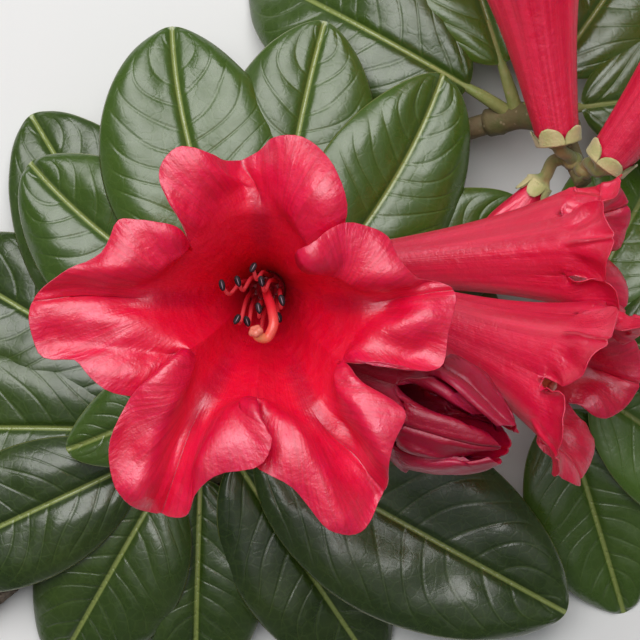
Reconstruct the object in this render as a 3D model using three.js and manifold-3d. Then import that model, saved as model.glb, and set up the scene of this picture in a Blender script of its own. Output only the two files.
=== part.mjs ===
// A cut flowering branch of a red rhododendron, lying down with its front truss facing up.
// Millimetres, +Z up. The branch lies on Z = 0, and the main bloom looks along +Z.
import * as THREE from 'three';
import { mergeVertices } from 'three/addons/utils/BufferGeometryUtils.js';
import Module from 'manifold-3d';

const wasm = await Module();
wasm.setup();

// ---------------------------------------------------------------- driving sizes
const GAP = 0.3; // clearance between pieces that meet
const RIM_HEIGHT = 78; // of the main bloom's mouth above the surface
const ORIGIN = [-10.64, -4.18, 0]; // moves the middle of the branch to the origin
const PETAL_THICKNESS = 0.9;
const TUBE_LENGTH = 34; // of a corolla, from its base to its mouth
const TUBE_FOOT = 3.3; // radius of an open corolla where it meets the calyx
const TUBE_STEADY_FLARE = 0.62; // share of the flare that is a plain cone; the rest comes near the mouth
const STALK_RADIUS = 1.1;
const CALYX_RIM = 0.6; // how far the calyx stands out round the corolla's foot
const CALYX_LENGTH = 4;
const FILAMENT_RADIUS = 0.45;
const STAMEN_RING = { inner: 1.65, outer: 2.55, height: 1 }; // holds the filaments together at their base
const ANTHER = [0.65, 1.25, 0.65]; // half sizes
const OVARY_RADIUS = 1.2;
const STYLE_RADIUS = [0.6, 0.8];
const STIGMA = { radius: 1.15, flatness: 0.6 };
const LEAF_THICKNESS = 0.8;
const LEAF_SHOULDER = 0.92; // under 1 moves a leaf's widest place towards its base
const LEAF_FULLNESS = 0.58; // under 1 makes its outline fuller than a sine wave
const PETIOLE = 9; // length of a leaf's stalk
const PETIOLE_RADIUS = 1.2;
const RESTING = 0.05; // height of a leaf tip that lies on the surface

const COLOURS = {
  petal: 0xc4061f,
  filament: 0xb0152a,
  style: 0xe8694a,
  stalk: 0x8a9a52,
  bark: 0x6d5a45,
  shoot: 0x7d7a45,
  leaf: 0x2c5326,
};
const ROUGHNESS = {
  petal: 0.45,
  filament: 0.5,
  style: 0.4,
  stalk: 0.6,
  bark: 0.9,
  shoot: 0.7,
  leaf: 0.3,
};

const materials = Object.fromEntries(Object.entries(COLOURS).map(([name, color]) => [
  name, new THREE.MeshStandardMaterial({ name, color, roughness: ROUGHNESS[name], metalness: 0 }),
]));

// ---------------------------------------------------------------- small helpers
const rad = THREE.MathUtils.degToRad;
const lerp = THREE.MathUtils.lerp;
const vec = (x, y, z) => new THREE.Vector3(x, y, z);
const bell = (x, middle, width) => Math.exp(-(((x - middle) / width) ** 2));

function randomFrom(seed) {
  let state = seed;
  return () => {
    state = (state * 1664525 + 1013904223) % 4294967296;
    return state / 4294967296;
  };
}

function geometryOf(points, triangles) {
  const geometry = new THREE.BufferGeometry();
  const numbers = points.flatMap((p) => [p.x, p.y, p.z]);
  geometry.setAttribute('position', new THREE.Float32BufferAttribute(numbers, 3));
  geometry.setIndex(triangles.flat());
  return geometry;
}

function solidOf(geometry) {
  const bare = geometry.clone();
  bare.deleteAttribute('normal');
  bare.deleteAttribute('uv');
  const merged = mergeVertices(bare, 1e-4);
  return new wasm.Manifold(new wasm.Mesh({
    numProp: 3,
    vertProperties: new Float32Array(merged.attributes.position.array),
    triVerts: new Uint32Array(merged.index.array),
  }));
}

// Joins overlapping shapes into one body. A hollow that joining would seal is filled.
function fuse(geometries) {
  const shells = wasm.Manifold.union(geometries.map(solidOf)).decompose();
  const mesh = wasm.Manifold.union(shells.filter((shell) => shell.volume() > 0)).getMesh();
  const geometry = new THREE.BufferGeometry();
  geometry.setAttribute('position', new THREE.BufferAttribute(new Float32Array(mesh.vertProperties), 3));
  geometry.setIndex(new THREE.BufferAttribute(new Uint32Array(mesh.triVerts), 1));
  return geometry;
}

const group = new THREE.Group();
group.position.set(...ORIGIN);

function place(name, geometry, material, parent = group) {
  const faceted = geometry.toNonIndexed();
  faceted.computeVertexNormals();
  const mesh = new THREE.Mesh(faceted, materials[material]);
  mesh.name = name;
  parent.add(mesh);
  return mesh;
}

// ---------------------------------------------------------------- limbs: tapering round stems
// A limb runs along a smooth curve, and radiusAt gives its radius from 0 at its start to 1 at its end.
function limb(places, radiusAt, steps, sides) {
  const curve = new THREE.CatmullRomCurve3(places.map((p) => vec(...p)), false, 'centripetal');
  const frames = curve.computeFrenetFrames(steps, false);
  const points = [];
  for (let i = 0; i <= steps; i += 1) {
    const middle = curve.getPointAt(i / steps);
    const radius = radiusAt(i / steps);
    for (let j = 0; j < sides; j += 1) {
      const turn = (2 * Math.PI * j) / sides;
      points.push(middle.clone()
        .addScaledVector(frames.normals[i], radius * Math.cos(turn))
        .addScaledVector(frames.binormals[i], radius * Math.sin(turn)));
    }
  }
  const triangles = [];
  for (let i = 0; i < steps; i += 1) {
    for (let j = 0; j < sides; j += 1) {
      const next = (j + 1) % sides;
      const [a, b] = [i * sides + j, i * sides + next];
      triangles.push([a, b, b + sides], [a, b + sides, a + sides]);
    }
  }
  const last = steps * sides;
  for (let j = 1; j < sides - 1; j += 1) {
    triangles.push([0, j + 1, j], [last, last + j, last + j + 1]);
  }
  return geometryOf(points, triangles);
}

const taper = (from, to) => (along) => lerp(from, to, along);

// ---------------------------------------------------------------- leaves
// A leaf's midrib leaves the stem at an angle above level, arches over until its tip is at tipHeight,
// and swings sideways by sweep. Its bend is found in a few rounds, because a more bent rib reaches less far.
function bendOf(leaf, total) {
  let bend = 0;
  for (let round = 0; round < 8; round += 1) {
    const half = rad(bend) / 2;
    const reach = half === 0 ? total : (total * Math.sin(half)) / half;
    bend = 2 * (leaf.rise - THREE.MathUtils.radToDeg(Math.asin((leaf.tipHeight - leaf.start[2]) / reach)));
  }
  return bend;
}

function midribOf(leaf) {
  const total = PETIOLE + leaf.length;
  const bend = bendOf(leaf, total);
  const steps = 40;
  const places = [vec(...leaf.start)];
  for (let i = 0; i < steps; i += 1) {
    const along = (i + 0.5) / steps;
    const pitch = rad(leaf.rise - bend * along);
    const yaw = rad(leaf.bearing + leaf.sweep * (along - 0.5));
    const heading = vec(Math.cos(pitch) * Math.cos(yaw), Math.cos(pitch) * Math.sin(yaw), Math.sin(pitch));
    places.push(places[i].clone().addScaledVector(heading, total / steps));
  }
  const at = (distance) => {
    const where = THREE.MathUtils.clamp(distance / total, 0, 1) * steps;
    const i = Math.min(Math.floor(where), steps - 1);
    return places[i].clone().lerp(places[i + 1], where - i);
  };
  return { total, at };
}

function bladeOf(leaf, lengthSteps, acrossSteps) {
  const { at } = midribOf(leaf);
  const halfWidth = (u) => leaf.halfWidth * Math.sin(Math.PI * u ** LEAF_SHOULDER) ** LEAF_FULLNESS;
  const rows = [];
  for (let i = 0; i <= lengthSteps; i += 1) {
    const u = (1 - Math.cos((Math.PI * i) / lengthSteps)) / 2;
    const distance = PETIOLE + u * leaf.length;
    const along = at(distance + 0.5).sub(at(distance - 0.5)).normalize();
    const across = vec(0, 0, 1).cross(along).normalize().applyAxisAngle(along, rad(leaf.roll));
    rows.push({ u, middle: at(distance), across, up: along.clone().cross(across) });
  }
  const skin = (row, v, side) => {
    const half = halfWidth(row.u);
    const height = half * (leaf.fold * Math.abs(v) - leaf.curl * Math.abs(v) ** 3);
    const thick = (side * LEAF_THICKNESS * (1 - v * v)) / 2;
    return row.middle.clone().addScaledVector(row.across, v * half).addScaledVector(row.up, height + thick);
  };
  const points = [rows[0].middle, rows[lengthSteps].middle];
  const index = (i, k, side) => {
    if (i === 0) return 0;
    if (i === lengthSteps) return 1;
    const rim = k === 0 || k === acrossSteps;
    const perRow = 2 * acrossSteps;
    const first = 2 + (i - 1) * perRow;
    return rim || side > 0 ? first + k : first + acrossSteps + k;
  };
  for (let i = 1; i < lengthSteps; i += 1) {
    for (let k = 0; k <= acrossSteps; k += 1) points.push(skin(rows[i], (2 * k) / acrossSteps - 1, 1));
    for (let k = 1; k < acrossSteps; k += 1) points.push(skin(rows[i], (2 * k) / acrossSteps - 1, -1));
  }
  const triangles = [];
  for (const side of [1, -1]) {
    for (let i = 0; i < lengthSteps; i += 1) {
      for (let k = 0; k < acrossSteps; k += 1) {
        const [a, b] = [index(i, k, side), index(i, k + 1, side)];
        const [c, d] = [index(i + 1, k + 1, side), index(i + 1, k, side)];
        for (const face of [[a, d, c], [a, c, b]]) {
          if (new Set(face).size === 3) triangles.push(side > 0 ? face : face.reverse());
        }
      }
    }
  }
  return geometryOf(points, triangles);
}

function leafPieces(leaf) {
  const { at } = midribOf(leaf);
  const underBlade = 0.1 * leaf.length;
  const stalk = [0, 0.5 * PETIOLE, PETIOLE, PETIOLE + underBlade].map((distance) => at(distance).toArray());
  return [bladeOf(leaf, 6, 4), limb(stalk, taper(PETIOLE_RADIUS, 0.5 * PETIOLE_RADIUS), 3, 4)];
}

// ---------------------------------------------------------------- corollas
// A corolla is a flaring tube whose mouth parts into five lobes. Its own frame has the middle of the
// mouth at 0 and looks along +Z. Each lobe's margin is a curve from one parting to the next, and its
// surface fans out from the mouth's ring to that margin. s runs 0 to 1 up the tube and on to 2 at the
// margin; c runs -1 to 1 across the lobe, with its midrib at 0.
function columnOf(bloom, lobe, c) {
  const from = bloom.partings[lobe];
  const to = bloom.partings[(lobe + 1) % 5];
  const [ringX, ringY] = bloom.ringMiddle;
  const w = (c + 1) / 2;
  const angle = (p) => Math.atan2(p[1] - ringY, p[0] - ringX);
  const start = angle(from);
  const end = angle(to) < start ? angle(to) + 2 * Math.PI : angle(to);
  const radius = (p) => Math.hypot(p[0] - ringX, p[1] - ringY);
  return {
    turn: lerp(start, end, w),
    ring: lerp(radius(from), radius(to), w),
    ringZ: bloom.partingDepth - bloom.channel * (1 - c * c),
  };
}

function tubePoint(bloom, lobe, c, s) {
  const { turn, ring, ringZ } = columnOf(bloom, lobe, c);
  const flare = TUBE_STEADY_FLARE * s + (1 - TUBE_STEADY_FLARE) * s ** 4;
  const rib = 1 + bloom.ribs * (1 + Math.cos(Math.PI * c)) * Math.sin((Math.PI * s) / 2) ** 2;
  const radius = lerp(bloom.footRadius, ring, flare) * rib;
  const x = lerp(bloom.foot[0], bloom.ringMiddle[0], s) + radius * Math.cos(turn);
  const y = lerp(bloom.foot[1], bloom.ringMiddle[1], s) + radius * Math.sin(turn);
  return vec(x, y, lerp(-bloom.tube, ringZ, s));
}

function marginPoint(bloom, lobe, c) {
  const { curve, middle, count } = bloom.margins[lobe];
  const where = c < 0 ? (1 + c) * middle : middle + c * (count - 1 - middle);
  return curve.getPoint(where / (count - 1));
}

function smoothLobePoint(bloom, lobe, c, t) {
  const start = tubePoint(bloom, lobe, c, 1);
  const end = marginPoint(bloom, lobe, c);
  const span = start.distanceTo(end);
  const leave = start.clone().sub(tubePoint(bloom, lobe, c, 0.97)).normalize().multiplyScalar(1.1 * span);
  const chord = vec(end.x - start.x, end.y - start.y, 0);
  const level = span > 0 ? THREE.MathUtils.smoothstep(chord.length() / span, 0.2, 0.6) : 0;
  const outward = vec(end.x - bloom.ringMiddle[0], end.y - bloom.ringMiddle[1], 0).normalize()
    .lerp(chord.normalize(), level).normalize();
  const reflex = rad(bloom.reflex[lobe]);
  const arrive = outward.multiplyScalar(Math.cos(reflex) * span);
  arrive.z = -Math.sin(reflex) * span;
  const [t2, t3] = [t * t, t * t * t];
  return vec(0, 0, 0)
    .addScaledVector(start, 2 * t3 - 3 * t2 + 1)
    .addScaledVector(leave, t3 - 2 * t2 + t)
    .addScaledVector(end, 3 * t2 - 2 * t3)
    .addScaledVector(arrive, t3 - t2);
}

// The midrib lies in a groove between two soft swells, and the margin ripples.
const GROOVE_WIDTH = 0.16;
const SWELL = { place: 0.42, width: 0.2 };
const RIPPLE = { waves: 7, shift: 2.1 };

function reliefOf(bloom, lobe, c, t) {
  const rising = Math.sin(Math.PI * Math.min(1, 0.15 + 0.85 * t));
  const groove = -bloom.groove * bell(c, 0, GROOVE_WIDTH) * (0.35 + 0.65 * rising);
  const swells = bell(c, -SWELL.place, SWELL.width) + bell(c, SWELL.place, SWELL.width);
  const ripple = bloom.ripple * t ** 3 * (1 - c ** 6) * Math.sin(RIPPLE.waves * c + RIPPLE.shift * lobe);
  return groove + bloom.swell * swells * rising + ripple;
}

// The relief stands out along the surface's own normal, and fades out at the mouth and the partings.
function lobePoint(bloom, lobe, c, t) {
  const base = smoothLobePoint(bloom, lobe, c, t);
  const amount = reliefOf(bloom, lobe, c, t) * Math.min(1, 8 * t) * (1 - c ** 8);
  if (Math.abs(amount) < 1e-6) return base;
  const step = 0.02;
  const nearC = THREE.MathUtils.clamp(c, -0.97, 0.97);
  const nearT = THREE.MathUtils.clamp(t, step, 1 - step);
  const at = (dc, dt) => smoothLobePoint(bloom, lobe, nearC + dc, nearT + dt);
  const across = at(step, 0).sub(at(-step, 0));
  const along = at(0, step).sub(at(0, -step));
  const normal = along.cross(across).normalize();
  return base.addScaledVector(normal, normal.z < 0 ? -amount : amount);
}

function corollaGeometry(bloom, columnsPerLobe, tubeSteps, lobeSteps) {
  const columns = 5 * columnsPerLobe;
  const rows = tubeSteps + lobeSteps;
  const index = (i, j) => {
    const column = j % columns;
    const row = column % columnsPerLobe === 0 ? Math.min(i, tubeSteps) : i;
    return row * columns + column;
  };
  const middle = [];
  for (let i = 0; i <= rows; i += 1) {
    for (let j = 0; j < columns; j += 1) {
      const lobe = Math.floor(j / columnsPerLobe);
      const c = (2 * (j % columnsPerLobe)) / columnsPerLobe - 1;
      middle.push(i <= tubeSteps
        ? tubePoint(bloom, lobe, c, i / tubeSteps)
        : lobePoint(bloom, lobe, c, (i - tubeSteps) / lobeSteps));
    }
  }
  const faces = [];
  for (let i = 0; i < rows; i += 1) {
    for (let j = 0; j < columns; j += 1) {
      const [a, b, c, d] = [index(i, j), index(i, j + 1), index(i + 1, j + 1), index(i + 1, j)];
      faces.push(...[[a, b, c], [a, c, d]].filter((face) => new Set(face).size === 3));
    }
  }
  const normals = middle.map(() => vec(0, 0, 0));
  for (const [a, b, c] of faces) {
    const normal = middle[b].clone().sub(middle[a]).cross(middle[c].clone().sub(middle[a]));
    for (const corner of [a, b, c]) normals[corner].add(normal);
  }
  const count = middle.length;
  const offset = (side) => middle.map((p, k) => p.clone().addScaledVector(
    normals[k].clone().normalize(), (side * PETAL_THICKNESS) / 2));
  const points = [...offset(1), ...offset(-1)];
  const triangles = [...faces, ...faces.map(([a, b, c]) => [a + count, c + count, b + count])];
  for (let j = 0; j < columns; j += 1) {
    const [rim, nextRim] = [index(rows, j), index(rows, j + 1)];
    triangles.push([rim, nextRim, nextRim + count], [rim, nextRim + count, rim + count]);
    const [foot, nextFoot] = [index(0, j), index(0, j + 1)];
    triangles.push([nextFoot, foot, foot + count], [nextFoot, foot + count, nextFoot + count]);
  }
  const used = [...new Set(triangles.flat())];
  const renumber = new Map(used.map((old, fresh) => [old, fresh]));
  const renumbered = triangles.map((face) => face.map((k) => renumber.get(k)));
  return geometryOf(used.map((old) => points[old]), renumbered);
}

function marginCurve(partingFrom, outline, partingTo, depth, middle) {
  const ends = [[...partingFrom, depth], [...partingTo, depth]];
  const places = [ends[0], ...outline, ends[1]].map((p) => vec(...p));
  const curve = new THREE.CatmullRomCurve3(places, false, 'centripetal');
  return { curve, middle: middle + 1, count: places.length };
}

// The main bloom, drawn as it grew: x to the right, y up and lift towards the front, from the throat.
const MAIN_PARTINGS = [[8.5, 6.3], [-11, 8.5], [-11, -7.5], [-1, -14.7], [12, -9.3]];
const MAIN_PARTING_DEPTH = -4;
const MAIN_LOBES = [
  { // upper
    middle: 5,
    outline: [[11, 10.5, -1], [11.5, 16, 1], [10, 21, 1], [6, 24.5, -0.5], [1, 24.5, -1], [-3, 22, -2],
      [-7.5, 22, 0.3], [-12.5, 23, 0.8], [-15.5, 19.5, 1], [-14, 14, 1]],
  },
  { // left
    middle: 5,
    outline: [[-14, 11, 0.5], [-18.5, 12, 1], [-21.5, 12, 1], [-24, 7, 0], [-30, 4, 0], [-35, -0.5, -2],
      [-35, -4.5, -3], [-33.5, -8.5, -3], [-28.5, -9, -1.5], [-26, -11.5, -1.5], [-22.5, -14, -1.8],
      [-18, -14.4, -3], [-14, -11.6, -4.4]],
  },
  { // lower left
    middle: 5,
    outline: [[-13.2, -8.6, 0.5], [-17.4, -12, 2.2], [-20.5, -16, 1.4], [-23, -22.5, 0], [-21.5, -29, -1.5],
      [-15.5, -33, -3], [-11.6, -32.6, -2.4], [-9.6, -28.8, -1.2], [-6.4, -26, 0], [0, -24.5, 2],
      [1.5, -20.4, 2.8], [-0.9, -17, 1]],
  },
  { // lower right
    middle: 6,
    outline: [[-0.8, -18.4, -3.6], [-1.4, -24, -2.6], [4, -27.5, -1], [7, -31, -1.5], [10, -34.5, -2.5],
      [14.5, -35, -3.5], [18.5, -29.5, -3], [19.5, -21.5, 0], [21.5, -17, 0.5], [18.6, -14.2, 0],
      [14.4, -12, -1.4]],
  },
  { // right
    middle: 4,
    outline: [[16, -9.8, 0.2], [22.5, -10.2, 0.6], [27, -10, -1.5], [28, -4.5, -1.5], [29, 1.5, -2],
      [23, 3.5, -0.5], [20.5, 6, 0], [19, 9.5, 0.5], [16, 11, 1], [12.5, 11.5, 1.6], [9.5, 10, 2.4],
      [7, 7, 2.4]],
  },
];

function mainBloom() {
  return {
    tube: TUBE_LENGTH,
    footRadius: TUBE_FOOT,
    ringMiddle: [0, -3.3],
    foot: [0, 2],
    partingDepth: MAIN_PARTING_DEPTH,
    channel: 2.5,
    ribs: 0.07,
    reflex: [12, 12, 12, 12, 12],
    groove: 1.3,
    swell: 0.9,
    ripple: 0.4,
    partings: MAIN_PARTINGS,
    margins: MAIN_LOBES.map(({ outline, middle }, lobe) => marginCurve(
      MAIN_PARTINGS[lobe], outline, MAIN_PARTINGS[(lobe + 1) % 5], MAIN_PARTING_DEPTH, middle)),
  };
}

// A regular bloom has five like lobes, each a little different. Half a lobe's margin is four places and
// then its tip: how far up the lobe, how far to its side and how far in front of its plane each one is.
// Each lobe opens from straight ahead by its own angle, and its tip curls back by another.
const OPEN_LOBE = { half: [[2, 8, 0.3], [5.5, 10, 0.8], [9.5, 8.6, 0.5], [12, 4.6, 0]], tip: [12.4, 0, 0] };
const FOLDED_LOBE = { half: [[3, 6, 0], [8, 7, 0.4], [13, 4.6, 1.6], [17, 1.4, 3.4]], tip: [18.5, 0, 4] };
const SHORT_LOBE = { half: [[2, 6.6, 0.3], [4.8, 8.2, 0.7], [7.6, 7, 0.5], [9.6, 3.8, 0]], tip: [10.2, 0, 0] };
const OPEN = { mouth: 10.4, depth: 2.5, tube: TUBE_LENGTH, lobe: OPEN_LOBE, curl: 30 };
const NARROW = { mouth: 8.4, depth: 2, tube: TUBE_LENGTH, lobe: SHORT_LOBE, curl: 35 };
const SHORT = { mouth: 10.4, depth: 2, tube: TUBE_LENGTH, lobe: SHORT_LOBE, curl: 30 };
// Degrees before and after its middle that each lobe may fill of the ring it shares with four others. The
// folded bloom has a wide slot between its first two lobes.
const LOBE_REACHES = Array(5).fill([33, 33]);
const FOLDED_REACHES = [[27, 14], [14, 27], [27, 27], [27, 27], [27, 27]];
const FOLDED = { mouth: 7.4, depth: -1, tube: 20, lobe: FOLDED_LOBE, curl: -40, reaches: FOLDED_REACHES };
const WOBBLE = 0.14; // share by which a margin's places vary
const LIFT_WOBBLE = 1.6; // how far they vary in front of the lobe's plane

function regularBloom({ mouth, depth, tube, lobe, curl, reaches = LOBE_REACHES }, seed, firstLobe, openings) {
  const random = randomFrom(seed);
  const polar = (bearing, out, side, forward) => {
    const [cos, sin] = [Math.cos(rad(bearing)), Math.sin(rad(bearing))];
    return [out * cos - side * sin, out * sin + side * cos, forward];
  };
  const partings = openings.map((_, k) => polar(firstLobe - 36 + 72 * k, mouth, 0, 0).slice(0, 2));
  const margins = openings.map((opening, k) => {
    const [sin, cos] = [Math.sin(rad(opening)), Math.cos(rad(opening))];
    const [before, after] = reaches[k];
    const wobble = () => 1 + WOBBLE * (random() - 0.5);
    // A lobe that hardly opens wraps round the bloom's axis, and one that opens wide is flat.
    const spot = (up, side, front) => {
      const out = mouth + up * sin - front * cos;
      const turn = THREE.MathUtils.clamp(side / out, -rad(before), rad(after));
      const across = lerp(side, out * Math.sin(turn), cos * cos);
      const away = lerp(out, out * Math.cos(turn), cos * cos);
      return polar(firstLobe + 72 * k, away, across, depth + up * cos + front * sin);
    };
    const side = (sign) => lobe.half.map(([up, across, front]) => spot(
      up * wobble(), sign * across * wobble(), front + LIFT_WOBBLE * (random() - 0.5)));
    const outline = [...side(-1), spot(...lobe.tip), ...side(1).reverse()];
    return marginCurve(partings[k], outline, partings[(k + 1) % 5], depth, lobe.half.length);
  });
  return {
    tube,
    footRadius: TUBE_FOOT,
    ringMiddle: [0, 0],
    foot: [0, 0],
    partingDepth: depth,
    channel: 1,
    ribs: 0.06,
    reflex: openings.map((opening) => opening + curl - 90),
    groove: 0.9,
    swell: 0.6,
    ripple: 0.5,
    partings,
    margins,
  };
}

// ---------------------------------------------------------------- buds
// A closed bud widens from its foot to its middle and rounds off to its tip, forward of its mouth's place.
const BUD = { tube: 8, tip: 10, foot: [0, 0], footRadius: 1.8, girth: 3.5, widest: 0.55, grid: [10, 10] };

function budGeometry(bud, steps, sides) {
  const ends = [[0, 0, -bud.tube], [0, 0, bud.tip]];
  const radiusAt = (along) => {
    const body = lerp(bud.footRadius, bud.girth, THREE.MathUtils.smoothstep(along, 0, bud.widest));
    const past = Math.max(0, (along - bud.widest) / (1 - bud.widest));
    return Math.max(0.3, body * Math.sqrt(1 - past * past));
  };
  return limb(ends, radiusAt, steps, sides);
}

// ---------------------------------------------------------------- stamens and pistils
// Each filament rises from the ring in a slack curve to its own anther.
const PISTIL_BASE = 0.2; // height of the stamens' and the pistil's base above the corolla's
const KNEE = { out: 0.45, up: 0.62 };
const NECK = { out: 0.9, below: 2.2 };

function stamensGeometry(anthers, shape, steps, sides, antherFaces) {
  const [footX, footY] = shape.foot;
  const base = -shape.tube + PISTIL_BASE;
  const { inner, outer, height } = STAMEN_RING;
  const section = [[inner, 0], [outer, 0], [outer, height], [inner, height], [inner, 0]];
  const ring = new THREE.LatheGeometry(section.map((p) => new THREE.Vector2(...p)), anthers.length);
  ring.rotateX(Math.PI / 2);
  ring.translate(footX, footY, base);
  const pieces = [ring];
  anthers.forEach(([x, y, z], k) => {
    const turn = (2 * Math.PI * k) / anthers.length;
    const out = (inner + outer) / 2;
    const foot = [footX + out * Math.cos(turn), footY + out * Math.sin(turn), base + height / 2];
    const knee = [lerp(foot[0], x, KNEE.out), lerp(foot[1], y, KNEE.out), lerp(foot[2], z, KNEE.up)];
    const neck = [lerp(foot[0], x, NECK.out), lerp(foot[1], y, NECK.out), z - NECK.below];
    const filament = taper(FILAMENT_RADIUS, 0.8 * FILAMENT_RADIUS);
    pieces.push(limb([foot, knee, neck, [x, y, z]], filament, steps, sides));
    const anther = new THREE.SphereGeometry(1, ...antherFaces);
    anther.scale(...ANTHER);
    anther.rotateZ(0.5 * (x - footX));
    anther.translate(x, y, z);
    pieces.push(anther);
  });
  return fuse(pieces);
}

function pistilGeometry(style, shape, steps, sides) {
  const [footX, footY] = shape.foot;
  const base = -shape.tube + PISTIL_BASE;
  const path = [[footX, footY, base], [footX, footY, base + 4], ...style];
  const ovary = 0.14; // share of the pistil's length
  const swelling = (along) => (along < ovary
    ? lerp(OVARY_RADIUS, STYLE_RADIUS[0], along / ovary)
    : lerp(...STYLE_RADIUS, along));
  const stigma = new THREE.SphereGeometry(STIGMA.radius, 8, 5);
  stigma.scale(1, 1, STIGMA.flatness);
  stigma.translate(...style[style.length - 1]);
  return fuse([limb(path, swelling, steps, sides), stigma]);
}

const MAIN_ANTHERS = [[2.9, 0, -6], [-0.2, 2.9, -6.5], [-1.5, 5, -7], [-3.8, 2.9, -6], [-6.2, 2.3, -6],
  [-3.9, -2.9, -5], [-2.4, -3.2, -6.5], [-0.6, -1.2, -5], [-0.9, -4.6, -7.5], [2.4, -2.6, -8]];
const MAIN_STYLE = [[0.6, 0.6, -12], [1.4, -1.6, -6.2], [1.6, -3.9, -4.6], [0.6, -5.7, -4.6],
  [-0.6, -5.5, -3.9], [-1, -4.7, -3.2]];

const REGULAR_STYLE = [[0, -1, -12], [0, -3, 1]];
const STAMEN_COUNT = 10;

function regularAnthers(seed) {
  const random = randomFrom(seed);
  const places = [];
  for (let k = 0; k < STAMEN_COUNT; k += 1) {
    const turn = (2 * Math.PI * k) / STAMEN_COUNT;
    const out = 3.2 + 1.6 * random();
    places.push([out * Math.cos(turn), out * Math.sin(turn) - 1.5, -4 - 5 * random()]);
  }
  return places;
}

// ---------------------------------------------------------------- where each bloom stands
const FRONT_RACHIS = { from: [2, -3, 27.6], to: [3.4, -1.8, 33.2], radius: [2.4, 1.6] };
const SIDE_RACHIS = { from: [49.8, 30, 21.6], to: [53, 20.5, 28], radius: [1.9, 1.5] };
const RIGHT_RACHIS = { from: [55.2, -11.1, 17.4], to: [56.2, -11.5, 19], radius: [1.8, 1.4] };

// grid is columns in a lobe, steps up the tube and steps out to the margin.
const BLOOMS = [
  {
    name: 'bloom_1',
    mouth: [0, 0, RIM_HEIGHT],
    facing: [0, 0, 1],
    rachis: FRONT_RACHIS,
    leave: 1,
    shape: mainBloom(),
    grid: [10, 5, 6],
    stamens: {
      anthers: MAIN_ANTHERS,
      style: MAIN_STYLE,
      detail: [4, 4, [5, 3]],
      styleDetail: [12, 6],
    },
  },
  {
    name: 'bloom_2',
    mouth: [48, 8.4, 38],
    facing: [0.95, 0.07, 0.22],
    rachis: FRONT_RACHIS,
    leave: 0.3,
    shape: regularBloom(NARROW, 21, 104, [14, 28, 30, 46, 30]),
    grid: [6, 4, 4],
    stamens: {
      anthers: regularAnthers(22),
      style: REGULAR_STYLE,
      detail: [3, 3, [4, 2]],
      styleDetail: [6, 4],
    },
  },
  {
    name: 'bloom_3',
    mouth: [46, -10.6, 50],
    facing: [0.85, -0.34, 0.32],
    rachis: FRONT_RACHIS,
    leave: 0.7,
    shape: regularBloom(SHORT, 31, 76, [14, 38, 44, 42, 28]),
    grid: [6, 4, 4],
    stamens: {
      anthers: regularAnthers(32),
      style: REGULAR_STYLE,
      detail: [3, 3, [4, 2]],
      styleDetail: [6, 4],
    },
  },
  {
    name: 'bloom_4',
    mouth: [23, -16, 60.5],
    facing: [0.86, -0.36, 0.36],
    rachis: FRONT_RACHIS,
    leave: 0.95,
    shape: regularBloom(FOLDED, 41, 122, [2, -2, 0, -4, 0]),
    grid: [6, 3, 4],
  },
  {
    name: 'side_bloom_1',
    mouth: [42.4, 60.2, 38.3],
    facing: [-0.18, 0.96, 0.2],
    rachis: SIDE_RACHIS,
    leave: 0.7,
    shape: regularBloom(OPEN, 51, 90, [40, 45, 50, 44, 38]),
    grid: [5, 3, 3],
  },
  {
    name: 'side_bloom_2',
    mouth: [76.2, 49.3, 44.7],
    facing: [0.58, 0.76, 0.3],
    rachis: SIDE_RACHIS,
    leave: 0.9,
    shape: regularBloom(OPEN, 61, 54, [40, 36, 46, 50, 42]),
    grid: [5, 3, 3],
  },
  {
    name: 'side_bud',
    mouth: [40.8, 13.4, 24.8],
    facing: [-0.6, -0.78, -0.08],
    rachis: SIDE_RACHIS,
    leave: 0.5,
    shape: BUD,
  },
  {
    name: 'right_bud',
    mouth: [67.5, -11.5, 27.4],
    facing: [0.9, -0.25, 0.35],
    rachis: RIGHT_RACHIS,
    leave: 0.9,
    shape: BUD,
  },
];

function stallOf(bloom) {
  const facing = vec(...bloom.facing).normalize();
  const right = vec(0, 1, 0).cross(facing).normalize();
  const basis = new THREE.Matrix4().makeBasis(right, facing.clone().cross(right), facing);
  const stall = new THREE.Group();
  stall.position.set(...bloom.mouth);
  stall.quaternion.setFromRotationMatrix(basis);
  stall.updateMatrix();
  group.add(stall);
  return stall;
}

// A stalk leaves the side of the truss's axis squarely, and swells into the calyx just short of the corolla.
function stalkGeometry(bloom, stall) {
  const foot = vec(...bloom.shape.foot, -bloom.shape.tube - GAP).applyMatrix4(stall.matrix);
  const facing = vec(...bloom.facing).normalize();
  const { from, to, radius } = bloom.rachis;
  const axis = vec(...to).sub(vec(...from)).normalize();
  const onAxis = vec(...from).lerp(vec(...to), bloom.leave);
  const away = foot.clone().sub(onAxis).projectOnPlane(axis).normalize();
  const start = onAxis.clone().addScaledVector(away, lerp(...radius, bloom.leave) + GAP);
  const clear = start.clone().addScaledVector(away, 1.3);
  const before = foot.clone().addScaledVector(facing, -Math.min(CALYX_LENGTH, 0.3 * start.distanceTo(foot)));
  const rim = bloom.shape.footRadius + CALYX_RIM;
  const cup = (along) => lerp(STALK_RADIUS, rim, THREE.MathUtils.smoothstep(along, 0.75, 1));
  return limb([start, clear, before, foot].map((p) => p.toArray()), cup, 8, 6);
}

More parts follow.
